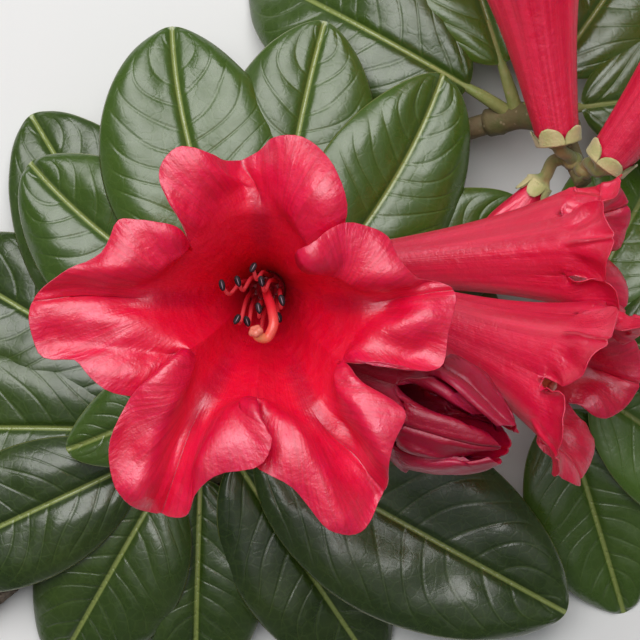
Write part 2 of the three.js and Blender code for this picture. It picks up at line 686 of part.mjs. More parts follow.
for (const bloom of BLOOMS) {
  const stall = stallOf(bloom);
  const closed = bloom.shape === BUD;
  const corolla = closed ? budGeometry(BUD, ...BUD.grid) : corollaGeometry(bloom.shape, ...bloom.grid);
  place(`${bloom.name}_corolla`, corolla, 'petal', stall);
  place(`${bloom.name}_stalk`, stalkGeometry(bloom, stall), 'stalk');
  if (bloom.stamens) {
    const { anthers, style, detail, styleDetail } = bloom.stamens;
    place(`${bloom.name}_stamens`, stamensGeometry(anthers, bloom.shape, ...detail), 'filament', stall);
    place(`${bloom.name}_pistil`, pistilGeometry(style, bloom.shape, ...styleDetail), 'style', stall);
  }
}

// ---------------------------------------------------------------- the woody stem and its shoots
const MAIN_STEM = [[-80, -74, 3.6], [-58, -57, 3.9], [-36, -40, 5], [-20, -28, 7.2]];
const LOWER_WHORL_STEM = [[-19.5, -27.6, 7.35], [-14, -23, 8.6], [-8.6, -17.6, 10.9]];
const FRONT_SHOOT = [[-8.1, -17.1, 11.2], [-4, -11.5, 14.5], [-1.8, -6.6, 18.6]];
const FRONT_WHORL_STEM = [[-1.5, -6, 19.2], [-0.2, -4.5, 22], [1.8, -3.2, 27.2]];
const SIDE_SHOOT = [[-27.8, -27.2, 6.5], [-14, 2, 5], [14, 24, 6], [38, 31.5, 9.8]];
const SIDE_WHORL_STEM = [[38.7, 31.7, 10.2], [43.5, 32.6, 13.5], [49.2, 30.9, 20.2]];
const RIGHT_SHOOT = [[-17.5, -31.8, 6], [8, -25, 2.6], [30, -12, 4.6], [44, -9.5, 9.6]];
const RIGHT_WHORL_STEM = [[44.4, -9.5, 10.2], [50, -10, 13], [54.7, -10.9, 16.6]];

place('main_stem', limb(MAIN_STEM, taper(3.6, 3), 8, 12), 'bark');
place('front_shoot', limb(FRONT_SHOOT, taper(2.7, 2.6), 4, 10), 'shoot');
place('side_shoot', limb(SIDE_SHOOT, taper(2.1, 1.9), 10, 8), 'shoot');
place('right_shoot', limb(RIGHT_SHOOT, taper(2, 1.8), 8, 8), 'shoot');
for (const [name, { from, to, radius }] of [
  ['front_rachis', FRONT_RACHIS],
  ['side_rachis', SIDE_RACHIS],
  ['right_rachis', RIGHT_RACHIS],
]) {
  place(name, limb([from, to], taper(...radius), 3, 8), 'shoot');
}

const leaf = (start, bearing, length, halfWidth, rise, tipHeight, more = {}) => (
  { start, bearing, length, halfWidth, rise, tipHeight, roll: 0, sweep: 0, fold: 0.25, curl: 0.3, ...more });

const FRONT_LEAVES = [
  leaf([-1, -4, 21], 145, 41, 13.5, 8, 18.4, { sweep: -28, roll: -4 }),
  leaf([0, -4, 22.5], 108, 46, 16, 12, 21.5, { sweep: -30 }),
  leaf([0.4, -3.6, 23], 80, 44, 14, 8, 21, { sweep: -10 }),
  leaf([0.6, -4, 23.5], 56, 44, 13, 4, 20.5, { sweep: 30, roll: 14 }),
  leaf([-0.6, -4.6, 23.4], 211, 32, 8, 3, 18.4, { sweep: -24 }),
  leaf([0.4, -4.4, 22.6], 27, 40, 11, -4, 16.5, { sweep: 16, roll: 4 }),
];
const LOWER_LEAVES = [
  leaf([-14, -23, 8.4], 180, 52, 13.5, 10, RESTING, { sweep: 8 }),
  leaf([-15, -24, 10], 205, 48, 12, 16, 5),
  leaf([-14, -23, 9.6], 240, 42, 13, 14, RESTING),
  leaf([-11, -20, 9.5], 150, 50, 14, 8, RESTING),
  leaf([-10, -19, 10], 122, 54, 15, 6, 2.5),
  leaf([-12, -22, 9], 268, 40, 12, 8, RESTING),
  leaf([-11, -20, 10], 303, 48, 12.5, 8, RESTING),
  leaf([-10, -20, 11], 331, 62, 17, 10, 11),
];
const SIDE_LEAVES = [
  leaf([42, 33, 13], 150, 48, 14, 18, RESTING),
  leaf([43, 33, 14], 108, 50, 14, 14, RESTING),
  leaf([44, 32.6, 15], 55, 50, 14, 8, RESTING),
  leaf([45, 32.6, 16], 8, 50, 14, 4, 3),
];
const RIGHT_LEAVES = [
  leaf([49, -10, 12], 60, 40, 13, 10, RESTING),
  leaf([50, -10, 12.6], 10, 48, 14, 8, RESTING),
  leaf([49, -10.4, 12.4], 326, 42, 12, 4, RESTING),
  leaf([48.5, -10.4, 12], 288, 40, 12, -8, RESTING),
  leaf([48, -10.2, 12], 150, 30, 9, 0, 6),
];

for (const [name, stem, leaves] of [
  ['lower_whorl', LOWER_WHORL_STEM, LOWER_LEAVES],
  ['front_whorl', FRONT_WHORL_STEM, FRONT_LEAVES],
  ['side_whorl', SIDE_WHORL_STEM, SIDE_LEAVES],
  ['right_whorl', RIGHT_WHORL_STEM, RIGHT_LEAVES],
]) {
  place(name, fuse([limb(stem, taper(2.5, 2.2), 3, 8), ...leaves.flatMap(leafPieces)]), 'leaf');
}

export default group;
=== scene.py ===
"""A cut flowering rhododendron branch, lying down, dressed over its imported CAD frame.

The rules that shape the corollas, leaves and stems are the ones the solids were made by, carried to finer
meshes. They work in millimetres from the middle of the main bloom's mouth; ORIGIN moves that to the frame.
"""
import functools
import itertools
import math
from dataclasses import dataclass
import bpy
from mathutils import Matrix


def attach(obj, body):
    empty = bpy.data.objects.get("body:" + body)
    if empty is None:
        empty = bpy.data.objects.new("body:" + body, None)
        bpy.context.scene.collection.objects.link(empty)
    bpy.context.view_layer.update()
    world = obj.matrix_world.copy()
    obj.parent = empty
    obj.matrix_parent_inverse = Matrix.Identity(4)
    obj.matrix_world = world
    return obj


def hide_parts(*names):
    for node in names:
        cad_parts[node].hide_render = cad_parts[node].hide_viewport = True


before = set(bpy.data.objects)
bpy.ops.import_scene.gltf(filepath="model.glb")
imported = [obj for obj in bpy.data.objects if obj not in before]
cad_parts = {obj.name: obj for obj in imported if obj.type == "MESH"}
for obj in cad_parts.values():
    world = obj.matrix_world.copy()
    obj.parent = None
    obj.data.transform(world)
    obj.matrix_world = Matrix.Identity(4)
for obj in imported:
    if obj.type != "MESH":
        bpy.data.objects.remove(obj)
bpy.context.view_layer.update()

from types import SimpleNamespace

import bpy
import numpy as np
from mathutils import Vector

MM = 0.001
ORIGIN = np.array([-10.64, -4.18, 0.0])
UP = np.array([0.0, 0.0, 1.0])

# ---- driving sizes, in millimetres
RIM_HEIGHT = 78.0
TUBE_LENGTH = 34.0
TUBE_FOOT = 3.3
TUBE_STEADY_FLARE = 0.62
STALK_RADIUS = 1.1
CALYX_RIM = 0.6
CALYX_LENGTH = 4.0
CALYX_THICKNESS = 0.35
GAP = 0.3
STALK_CLEAR, STALK_SINK = 1.3, 0.9
FILAMENT_RADIUS, FILAMENT_TAPER = 0.42, 0.66
STAMEN_RING_RADIUS = 2.1
PISTIL_BASE, STAMEN_BASE = 0.2, 0.7
OVARY_RADIUS = 1.2
OVARY_SHARE = 0.14
STYLE_RADIUS = (0.6, 0.8)
STIGMA_SIZE = (1.12, 0.78)
PETAL_THICKNESS = 0.55
MARGIN_THICKNESS, MARGIN_WIDTH = 0.16, 5.0
LEAF_THICKNESS = 0.5
LEAF_SHOULDER = 0.92
LEAF_FULLNESS = 0.58
PETIOLE = 9.0
PETIOLE_RADIUS = 1.2
RESTING = 0.05


# ---- numbers
def rad(degrees):
    return np.radians(degrees)


def lerp(a, b, t):
    return a + (b - a) * t


def unit(vectors):
    vectors = np.asarray(vectors, float)
    return vectors / np.maximum(np.linalg.norm(vectors, axis=-1, keepdims=True), 1e-12)


def bell(x, middle, width):
    return np.exp(-(((x - middle) / width) ** 2))


def smoothstep(x, low, high):
    t = np.clip((x - low) / (high - low), 0, 1)
    return t * t * (3 - 2 * t)


def random_from(seed):
    """The same draws as in the solids' source."""
    state = seed

    def draw():
        nonlocal state
        state = (state * 1664525 + 1013904223) % 4294967296
        return state / 4294967296

    return draw


def hashed(cells, seed):
    """A fixed number from 0 to 1 for each whole-numbered cell."""
    x, y, z = np.moveaxis(cells, -1, 0)
    mixed = x * 73856093 ^ y * 19349663 ^ z * 83492791 ^ seed * 2654435761
    mixed = (mixed ^ (mixed >> 13)) * 1274126177 & 0xFFFFFFFF
    mixed = (mixed ^ (mixed >> 16)) & 0xFFFFFF
    return mixed / 0xFFFFFF


def noise(points, seed):
    """Smooth noise from -1 to 1 whose features are about 1 across."""
    points = np.asarray(points, float)
    cell = np.floor(points).astype(np.int64)
    part = points - cell
    part = part**3 * (part * (part * 6 - 15) + 10)
    total = np.zeros(points.shape[:-1])
    for corner in itertools.product((0, 1), repeat=3):
        weight = np.prod(np.where(corner, part, 1 - part), axis=-1)
        total += weight * hashed(cell + np.array(corner), seed)
    return 2 * total - 1


def spread(*coordinates):
    """Points for noise() from two or three coordinates."""
    return np.stack(np.broadcast_arrays(*coordinates, *[0.0] * (3 - len(coordinates))), -1)


def turns(sides):
    return np.linspace(0, 2 * np.pi, sides, endpoint=False)


def ringed(out, turn, z, middle=(0, 0)):
    """Points as far out from an upright axis as out says, at a turn round it."""
    return spread(middle[0] + out * np.cos(turn), middle[1] + out * np.sin(turn), z)


def skin_noise(travelled, turn, around, length, seed):
    """Noise over a limb's skin, in features of a length, at a radius of around features."""
    return noise(ringed(around, turn, travelled / length), seed)


def distances(points):
    """How far along a line of points each of them is."""
    return np.concatenate([[0], np.cumsum(np.linalg.norm(np.diff(points, axis=0), axis=1))])


class Curve:
    """A centripetal Catmull-Rom curve, as the solids' source draws it."""

    def __init__(self, places):
        self.places = np.asarray(places, float)
        self.fine = np.linspace(0, 1, 801)
        self.lengths = distances(self.point(self.fine))
        self.length = self.lengths[-1]

    def point(self, t):
        places = self.places
        last = len(places) - 1
        where = np.clip(np.asarray(t, float), 0, 1) * last
        i = np.clip(np.floor(where).astype(int), 0, last - 1)
        w = (where - i)[..., None]
        ends = np.vstack([2 * places[0] - places[1], places, 2 * places[-1] - places[-2]])
        p0, p1, p2, p3 = ends[i], ends[i + 1], ends[i + 2], ends[i + 3]
        d0, d1, d2 = (np.sqrt(np.linalg.norm(b - a, axis=-1, keepdims=True))
                      for a, b in ((p0, p1), (p1, p2), (p2, p3)))
        t1 = ((p1 - p0) / d0 - (p2 - p0) / (d0 + d1) + (p2 - p1) / d1) * d1
        t2 = ((p2 - p1) / d1 - (p3 - p1) / (d1 + d2) + (p3 - p2) / d2) * d1
        return p1 + t1 * w + (3 * (p2 - p1) - 2 * t1 - t2) * w**2 + (2 * (p1 - p2) + t1 + t2) * w**3

    def at(self, share):
        """The point that share of the way along the curve's length."""
        return self.point(np.interp(share, self.lengths / self.length, self.fine))


# ---- meshes
def grid_faces(index):
    """Triangles of a grid of point numbers, and the grid places of their corners. Flat ones are dropped."""
    rows, columns = index.shape
    i, j = np.meshgrid(np.arange(rows - 1), np.arange(columns - 1), indexing="ij")
    places = [(i, j), (i, j + 1), (i + 1, j + 1), (i + 1, j)]
    corners = [np.stack([index[r, c], r, c], -1).reshape(-1, 3) for r, c in places]
    triangles = np.concatenate([np.stack([corners[k] for k in half], 1) for half in ((0, 1, 2), (0, 2, 3))])
    a, b, c = triangles[..., 0].T
    return triangles[(a != b) & (b != c) & (a != c)]


def round_index(rows, sides, point_first=False, point_last=False):
    """Point numbers of rows that close on themselves. The first and the last row can be a single point."""
    index = np.arange(rows * sides).reshape(rows, sides)
    if point_first:
        index[0] = index[0, 0]
    if point_last:
        index[-1] = index[-1, 0]
    return np.concatenate([index, index[:, :1]], 1)


def uv_grid(across, along):
    """UVs from a number for each column of a grid and one for each row."""
    return np.stack(np.broadcast_arrays(across[None], along[:, None]), -1)


def normals_of(points, triangles):
    a, b, c = (points[triangles[:, k]] for k in range(3))
    normal = np.cross(b - a, c - a)
    total = np.zeros_like(points)
    for k in range(3):
        np.add.at(total, triangles[:, k], normal)
    return unit(total)


class Shape:
    """Points and triangles that grow piece by piece, with a UV for each corner and numbers for each point."""

    def __init__(self):
        self.points, self.triangles, self.uvs, self.numbers = [], [], [], {}
        self.count = 0

    def add(self, points, triangles, uvs, **numbers):
        self.points.append(points)
        self.triangles.append(triangles + self.count)
        self.uvs.append(uvs)
        for name in sorted(set(numbers) | set(self.numbers)):
            earlier = self.numbers.setdefault(name, [np.zeros(self.count)])
            earlier.append(np.broadcast_to(numbers.get(name, 0.0), len(points)).astype(float))
        self.count += len(points)

    def build(self, name, material):
        """A smooth-shaded object in metres, in the frame."""
        mesh = bpy.data.meshes.new(name)
        places = (np.concatenate(self.points) + ORIGIN) * MM
        mesh.from_pydata(places, [], np.concatenate(self.triangles), shade_flat=False)
        mesh.uv_layers.new(name="UVMap").data.foreach_set("uv", np.concatenate(self.uvs).ravel())
        for key, values in self.numbers.items():
            attribute = mesh.attributes.new(key, "FLOAT", "POINT")
            attribute.data.foreach_set("value", np.concatenate(values).astype(np.float32))
        mesh.materials.append(material)
        mesh.validate()
        piece = bpy.data.objects.new(name, mesh)
        bpy.context.scene.collection.objects.link(piece)
        return piece


def dress(name, material, slot, node, *meshes):
    """Builds a piece on the root body, in place of its node. Each mesh is a function and what it is given."""
    shape = Shape()
    for mesh, *given in meshes:
        mesh(shape, *given)
    piece = shape.build(name, material)
    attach(piece, "root")
    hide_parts(node)


def wrap(shape, points, uvs=None, ends=(True, True), flip=False, **numbers):
    """Adds a skin of rows of points that close on themselves. ends says which end row is a single point."""
    rows, sides = points.shape[:2]
    if uvs is None:
        uvs = uv_grid(np.arange(sides + 1) / sides, np.arange(rows) / (rows - 1))
    faces = grid_faces(round_index(rows, sides, *ends))[:, ::-1 if flip else 1]
    shape.add(points.reshape(-1, 3), faces[..., 0], uvs[faces[..., 1], faces[..., 2]], **numbers)


def frames_across(middles):
    """Two directions across a line of points at each of them, turning as little as they can."""
    along = unit(np.gradient(middles, axis=0))
    first = np.cross(along[0], UP if abs(along[0] @ UP) < 0.9 else np.array([1.0, 0, 0]))
    normals = [unit(first)]
    for step in along[1:]:
        normals.append(unit(normals[-1] - step * (normals[-1] @ step)))
    normals = np.array(normals)
    return normals[:, None], np.cross(along, normals)[:, None]


def tube(shape, middles, radii, sides, relief=None, **numbers):
    """Adds a round limb with closed ends. relief says how far the skin stands out, from its place along the
    limb and its turn. Each of the numbers has one value, or one for each middle."""
    across, other = frames_across(middles)
    turn = turns(sides)
    travelled = distances(middles)
    radius = np.repeat(radii[:, None], sides, 1)
    if relief is not None:
        radius = radius + relief(travelled[:, None], turn[None])
    ring = np.cos(turn)[None, :, None] * across + np.sin(turn)[None, :, None] * other
    rows = [0, *range(len(middles)), -1]
    points = (middles[:, None] + radius[..., None] * ring)[rows]
    points[0], points[-1] = middles[0], middles[-1]
    numbers = {key: np.repeat(np.broadcast_to(value, len(middles))[rows], sides)
               for key, value in numbers.items()}
    wrap(shape, points, uv_grid(np.arange(sides + 1) / sides, travelled[rows]), **numbers)


def skins(shape, middle, index, uvs, thickness, **numbers):
    """Adds a thin shell round a grid of points, closed along its first and last row. index gives each grid
    place its point."""
    faces = grid_faces(index)
    triangles = faces[..., 0]
    half = (np.broadcast_to(thickness, len(middle)) / 2)[:, None] * normals_of(middle, triangles)
    count = len(middle)
    corner = uvs[faces[..., 1], faces[..., 2]]
    blocks, corners = [triangles, triangles[:, ::-1] + count], [corner, corner[:, ::-1]]
    for row, order in ((0, -1), (-1, 1)):
        a, b = index[row, :-1], index[row, 1:]
        uv_a, uv_b = uvs[row, :-1], uvs[row, 1:]
        for triangle, uv in (((a, b, b + count), (uv_a, uv_b, uv_b)),
                             ((a, b + count, a + count), (uv_a, uv_b, uv_a))):
            kept = a != b
            blocks.append(np.stack(triangle, 1)[kept][:, ::order])
            corners.append(np.stack(uv, 1)[kept][:, ::order])
    doubled = {key: np.tile(np.broadcast_to(value, count), 2) for key, value in numbers.items()}
    shape.add(np.concatenate([middle + half, middle - half]), np.concatenate(blocks), np.concatenate(corners),
              front=np.repeat([1.0, 0.0], count), **doubled)


# ---- corollas
# The frame and the rules of the solids' corollas: the middle of the mouth is at 0 and the bloom looks along
# +Z. s runs 0 to 1 up the tube and on to 2 at the margin; c runs -1 to 1 across a lobe.
GROOVE_WIDTH = 0.16
SWELL_PLACE, SWELL_WIDTH = 0.42, 0.2
RIPPLE_WAVES, RIPPLE_SHIFT = 7, 2.1
UV_LENGTH = 100.0

MAIN_PARTINGS = [(8.5, 6.3), (-11, 8.5), (-11, -7.5), (-1, -14.7), (12, -9.3)]
MAIN_PARTING_DEPTH = -4
MAIN_LOBES = [
    (5, [(11, 10.5, -1), (11.5, 16, 1), (10, 21, 1), (6, 24.5, -0.5), (1, 24.5, -1), (-3, 22, -2),
         (-7.5, 22, 0.3), (-12.5, 23, 0.8), (-15.5, 19.5, 1), (-14, 14, 1)]),
    (5, [(-14, 11, 0.5), (-18.5, 12, 1), (-21.5, 12, 1), (-24, 7, 0), (-30, 4, 0), (-35, -0.5, -2),
         (-35, -4.5, -3), (-33.5, -8.5, -3), (-28.5, -9, -1.5), (-26, -11.5, -1.5), (-22.5, -14, -1.8),
         (-18, -14.4, -3), (-14, -11.6, -4.4)]),
    (5, [(-13.2, -8.6, 0.5), (-17.4, -12, 2.2), (-20.5, -16, 1.4), (-23, -22.5, 0), (-21.5, -29, -1.5),
         (-15.5, -33, -3), (-11.6, -32.6, -2.4), (-9.6, -28.8, -1.2), (-6.4, -26, 0), (0, -24.5, 2),
         (1.5, -20.4, 2.8), (-0.9, -17, 1)]),
    (6, [(-0.8, -18.4, -3.6), (-1.4, -24, -2.6), (4, -27.5, -1), (7, -31, -1.5), (10, -34.5, -2.5),
         (14.5, -35, -3.5), (18.5, -29.5, -3), (19.5, -21.5, 0), (21.5, -17, 0.5), (18.6, -14.2, 0),
         (14.4, -12, -1.4)]),
    (4, [(16, -9.8, 0.2), (22.5, -10.2, 0.6), (27, -10, -1.5), (28, -4.5, -1.5), (29, 1.5, -2),
         (23, 3.5, -0.5), (20.5, 6, 0), (19, 9.5, 0.5), (16, 11, 1), (12.5, 11.5, 1.6), (9.5, 10, 2.4),
         (7, 7, 2.4)]),
]
# The folds of each of the main bloom's lobes: how high one stands, how far it reaches to either side, how
# round its crest is, and the line that it runs along.
VALLEY, RIDGE = 0.2, 1.0
MAIN_FOLDS = [
    [(-2.6, 7.5, VALLEY, [(-0.8, 7), (-2.4, 15), (-3, 24.5)]), (2.4, 8, 2.5, [(6, 10), (7.5, 15)])],
    [(-2.0, 5.5, VALLEY, [(-6, 0.6), (-20, 0.1), (-35, 0.4)]),
     (2.4, 5.5, RIDGE, [(-8, 6.2), (-15, 6.4), (-22, 5.6)]),
     (1.0, 3.6, RIDGE, [(-12, -3.6), (-20, -2.8), (-27, -2.6), (-33, -2.2)]),
     (-1.7, 4.2, RIDGE, [(-13, -8.2), (-18, -7.2), (-25, -6.4), (-31, -5.8)])],
    [(-2.6, 5, VALLEY, [(-5.6, -10), (-9.6, -15.5), (-12.2, -21), (-14.2, -28), (-15.6, -33.5)]),
     (1.8, 4.2, RIDGE, [(-11.6, -8.6), (-14, -14), (-16, -21.5), (-18.5, -29)]),
     (1.6, 4.5, RIDGE, [(-2.6, -16), (-5.4, -21), (-8.6, -25)]),
     (-1.0, 4, RIDGE, [(-20, -17), (-19.5, -24)])],
    [(-3.0, 5, VALLEY, [(5.2, -9.5), (7.8, -13.6), (10.2, -17.3), (12.7, -21.8), (17.4, -30)]),
     (1.8, 4.5, RIDGE, [(1.6, -14.6), (4.6, -20), (8.5, -27), (11.5, -33)]),
     (2.0, 4.5, RIDGE, [(11.4, -11.6), (15, -16.6), (18.6, -23.5)])],
    [(-2.8, 5.5, VALLEY, [(6, -2.2), (12, -2.7), (18, -0.8), (25, 2.2)]),
     (2.8, 5.5, RIDGE, [(6.6, 5.9), (11.7, 5), (18.5, 3.8), (22, 3.2)]),
     (1.8, 4.5, RIDGE, [(10, -7), (15, -6), (20, -4), (25, -1.6)]),
     (-1.6, 4, RIDGE, [(17, -8.6), (24, -7.6)])],
]


class Margin:
    """A lobe's margin, from one parting to the next."""

    def __init__(self, start, outline, end, depth, middle):
        self.curve = Curve([(*start, depth), *outline, (*end, depth)])
        self.middle = middle + 1
        self.count = len(outline) + 2

    def share(self, c):
        where = np.where(c < 0, (1 + c) * self.middle, self.middle + c * (self.count - 1 - self.middle))
        return where / (self.count - 1)

    def point(self, c):
        return self.curve.point(self.share(c))

    def travelled(self, c):
        return np.interp(self.share(c), self.curve.fine, self.curve.lengths)


@dataclass
class Corolla:
    """Lengths are in millimetres. reflex is how far down each lobe's margin points, in degrees."""

    tube_length: float
    depth: float
    channel: float
    ribs: float
    reflex: list
    partings: list
    margins: list
    ring_middle: tuple = (0, 0)
    foot: tuple = (0, 0)
    groove: float = 0.9
    swell: float = 0.6
    ripple: float = 0.5
    folds: tuple = ((),) * 5

    def tube_point(self, lobe, c, s):
        (ax, ay), (bx, by) = (np.subtract(self.partings[k % 5], self.ring_middle) for k in (lobe, lobe + 1))
        start, end = math.atan2(ay, ax), math.atan2(by, bx)
        end += 2 * math.pi if end < start else 0
        w = (c + 1) / 2
        turn = lerp(start, end, w)
        ring = lerp(math.hypot(ax, ay), math.hypot(bx, by), w)
        flare = TUBE_STEADY_FLARE * s + (1 - TUBE_STEADY_FLARE) * s**4
        radius = lerp(TUBE_FOOT, ring, flare)
        radius = radius * (1 + self.ribs * (1 + np.cos(np.pi * c)) * np.sin(np.pi * s / 2) ** 2)
        z = lerp(-self.tube_length, self.depth - self.channel * (1 - c * c), s)
        return ringed(radius, turn, z, [lerp(a, b, s) for a, b in zip(self.foot, self.ring_middle)])

    def smooth_lobe_point(self, lobe, c, t):
        start = self.tube_point(lobe, c, np.ones_like(c))
        end = self.margins[lobe].point(c)
        span = np.linalg.norm(end - start, axis=-1, keepdims=True)
        leave = unit(start - self.tube_point(lobe, c, np.full_like(c, 0.97))) * 1.1 * span
        chord = (end - start) * [1, 1, 0]
        level = smoothstep(np.linalg.norm(chord, axis=-1, keepdims=True) / np.maximum(span, 1e-9), 0.2, 0.6)
        away = unit((end - [*self.ring_middle, 0]) * [1, 1, 0])
        outward = unit(lerp(away, unit(chord), level))
        reflex = rad(self.reflex[lobe])
        arrive = outward * np.cos(reflex) * span - UP * np.sin(reflex) * span
        t = t[..., None]
        return (start * (2 * t**3 - 3 * t**2 + 1) + leave * (t**3 - 2 * t**2 + t)
                + end * (3 * t**2 - 2 * t**3) + arrive * (t**3 - t**2))

    def relief(self, lobe, c, t):
        rising = np.sin(np.pi * np.minimum(1, 0.15 + 0.85 * t))
        groove = -self.groove * bell(c, 0, GROOVE_WIDTH) * (0.35 + 0.65 * rising)
        swells = bell(c, -SWELL_PLACE, SWELL_WIDTH) + bell(c, SWELL_PLACE, SWELL_WIDTH)
        ripple = self.ripple * t**3 * (1 - c**6) * np.sin(RIPPLE_WAVES * c + RIPPLE_SHIFT * lobe)
        return groove + self.swell * swells * rising + ripple

    def folded(self, lobe, points):
        flat = points[..., :2]
        total = np.zeros(flat.shape[:-1])
        for height, reach, roundness, line in self.folds[lobe]:
            off = np.inf
            for a, b in itertools.pairwise(np.array(line, float)):
                share = np.clip((flat - a) @ (b - a) / ((b - a) @ (b - a)), 0, 1)
                off = np.minimum(off, np.linalg.norm(flat - a - share[..., None] * (b - a), axis=-1))
            off = (np.sqrt(off**2 + roundness**2) - roundness) / reach
            total += height * (1 - np.minimum(1, off)) ** 1.5
        return total

    def lobe_normals(self, lobe, c, t):
        step = 0.02
        c, t = np.clip(c, -0.97, 0.97), np.clip(t, step, 1 - step)
        across, along = (
            self.smooth_lobe_point(lobe, c + dc, t + dt) - self.smooth_lobe_point(lobe, c - dc, t - dt)
            for dc, dt in ((step, 0), (0, step)))
        normal = unit(np.cross(along, across))
        return np.where(normal[..., 2:] < 0, -normal, normal)


def main_corolla():
    margins = [Margin(MAIN_PARTINGS[k], outline, MAIN_PARTINGS[(k + 1) % 5], MAIN_PARTING_DEPTH, middle)
               for k, (middle, outline) in enumerate(MAIN_LOBES)]
    return Corolla(TUBE_LENGTH, MAIN_PARTING_DEPTH, 2.5, 0.07, [12] * 5, MAIN_PARTINGS, margins,
                   ring_middle=(0, -3.3), foot=(0, 2), groove=0.5, swell=0.3, ripple=0.4, folds=MAIN_FOLDS)


def bloom_kind(mouth, depth, curl, half, tip, **more):
    """What blooms of a kind share. half is one side of a lobe: how far up, across and forward."""
    return SimpleNamespace(mouth=mouth, depth=depth, curl=curl, half=half, tip=tip,
                           **{"tube_length": TUBE_LENGTH, "reaches": [(34.5, 34.5)] * 5, **more})


OPEN = bloom_kind(10.4, 2.5, 30, [(2, 8, 0.3), (5.5, 10, 0.8), (9.5, 8.6, 0.5), (12, 4.6, 0)], (12.4, 0, 0))
SHORT_LOBE = [(2, 6.6, 0.3), (4.8, 8.2, 0.7), (7.6, 7, 0.5), (9.6, 3.8, 0)], (10.2, 0, 0)
SHORT = bloom_kind(10.4, 2, 30, *SHORT_LOBE)
NARROW = bloom_kind(8.4, 2, 35, *SHORT_LOBE)
FOLDED = bloom_kind(7.4, -1, -40, [(3, 6, 0), (8, 7, 0.4), (13, 6, 1.6), (17, 3, 3.2)], (18.5, 0, 4),
                    tube_length=20, reaches=[(34, 23), (23, 34), (34, 34), (34, 34), (34, 34)])
WOBBLE = 0.14
LIFT_WOBBLE = 1.6


def regular_corolla(kind, seed, first_lobe, openings):
    """A bloom whose five lobes are alike. openings says how far each of them leans out, in degrees."""
    random = random_from(seed)

    def polar(bearing, out, side, forward):
        cos, sin = math.cos(rad(bearing)), math.sin(rad(bearing))
        return (out * cos - side * sin, out * sin + side * cos, forward)

    partings = [polar(first_lobe - 36 + 72 * k, kind.mouth, 0, 0)[:2] for k in range(5)]
    margins = []
    for k, opening in enumerate(openings):
        sin, cos = math.sin(rad(opening)), math.cos(rad(opening))
        before, after = kind.reaches[k]

        def wobble():
            return 1 + WOBBLE * (random() - 0.5)

        def spot(up, side, front):
            out = kind.mouth + up * sin - front * cos
            turn = min(max(side / out, -rad(before)), rad(after))
            across = lerp(side, out * math.sin(turn), cos * cos)
            away = lerp(out, out * math.cos(turn), cos * cos)
            return polar(first_lobe + 72 * k, away, across, kind.depth + up * cos + front * sin)

        def side(sign):
            return [spot(up * wobble(), sign * across * wobble(), front + LIFT_WOBBLE * (random() - 0.5))
                    for up, across, front in kind.half]

        outline = [*side(-1), spot(*kind.tip), *side(1)[::-1]]
        margins.append(Margin(partings[k], outline, partings[(k + 1) % 5], kind.depth, len(kind.half)))
    reflex = [opening + kind.curl - 90 for opening in openings]
    return Corolla(kind.tube_length, kind.depth, 1, 0.06, reflex, partings, margins)


def fine_relief(corolla, lobe, c, t, points, seed):
    """The creased midrib, puckers and crimped margin that the solids leave out, in millimetres."""
    middle = points[:, points.shape[1] // 2][:, None]
    beside = np.linalg.norm(points - middle, axis=-1)
    edge = np.linalg.norm(points - points[-1][None], axis=-1)
    travelled = corolla.margins[lobe].travelled(c)
    crease = (-0.42 * bell(beside, 0, 0.3) + 0.14 * bell(beside, 0.9, 0.45)) * smoothstep(t, 0.05, 0.3)
    soft = 0.42 * noise(points / 7, seed) + 0.16 * noise(points / 3, seed + 1)
    pucker = 0.12 * noise(points / 1.3, seed + 2) * bell(np.abs(c), 0.82, 0.18) * bell(t, 0.3, 0.28)
    wave = 0.7 * noise(spread(travelled / 6.5, 9.0 * lobe), seed + 3) * np.exp(-edge / 3.5)
    crimp = 0.16 * noise(spread(travelled / 1.6, edge / 3, 5.0 * lobe), seed + 4) * np.exp(-edge / 1.8)
    veins = 0.03 * noise(spread(travelled / 1.5, edge / 14, 3.0 * lobe), seed + 5)
    return (crease + soft * np.minimum(1, 2 * t) + pucker + wave + crimp + veins) * (1 - c**8)


def crowded(even, strength):
    """Even steps from -1 to 1, drawn together at -1, 0 and 1."""
    return np.sign(even) * (np.abs(even) - strength * np.sin(2 * np.pi * np.abs(even)) / (2 * np.pi))


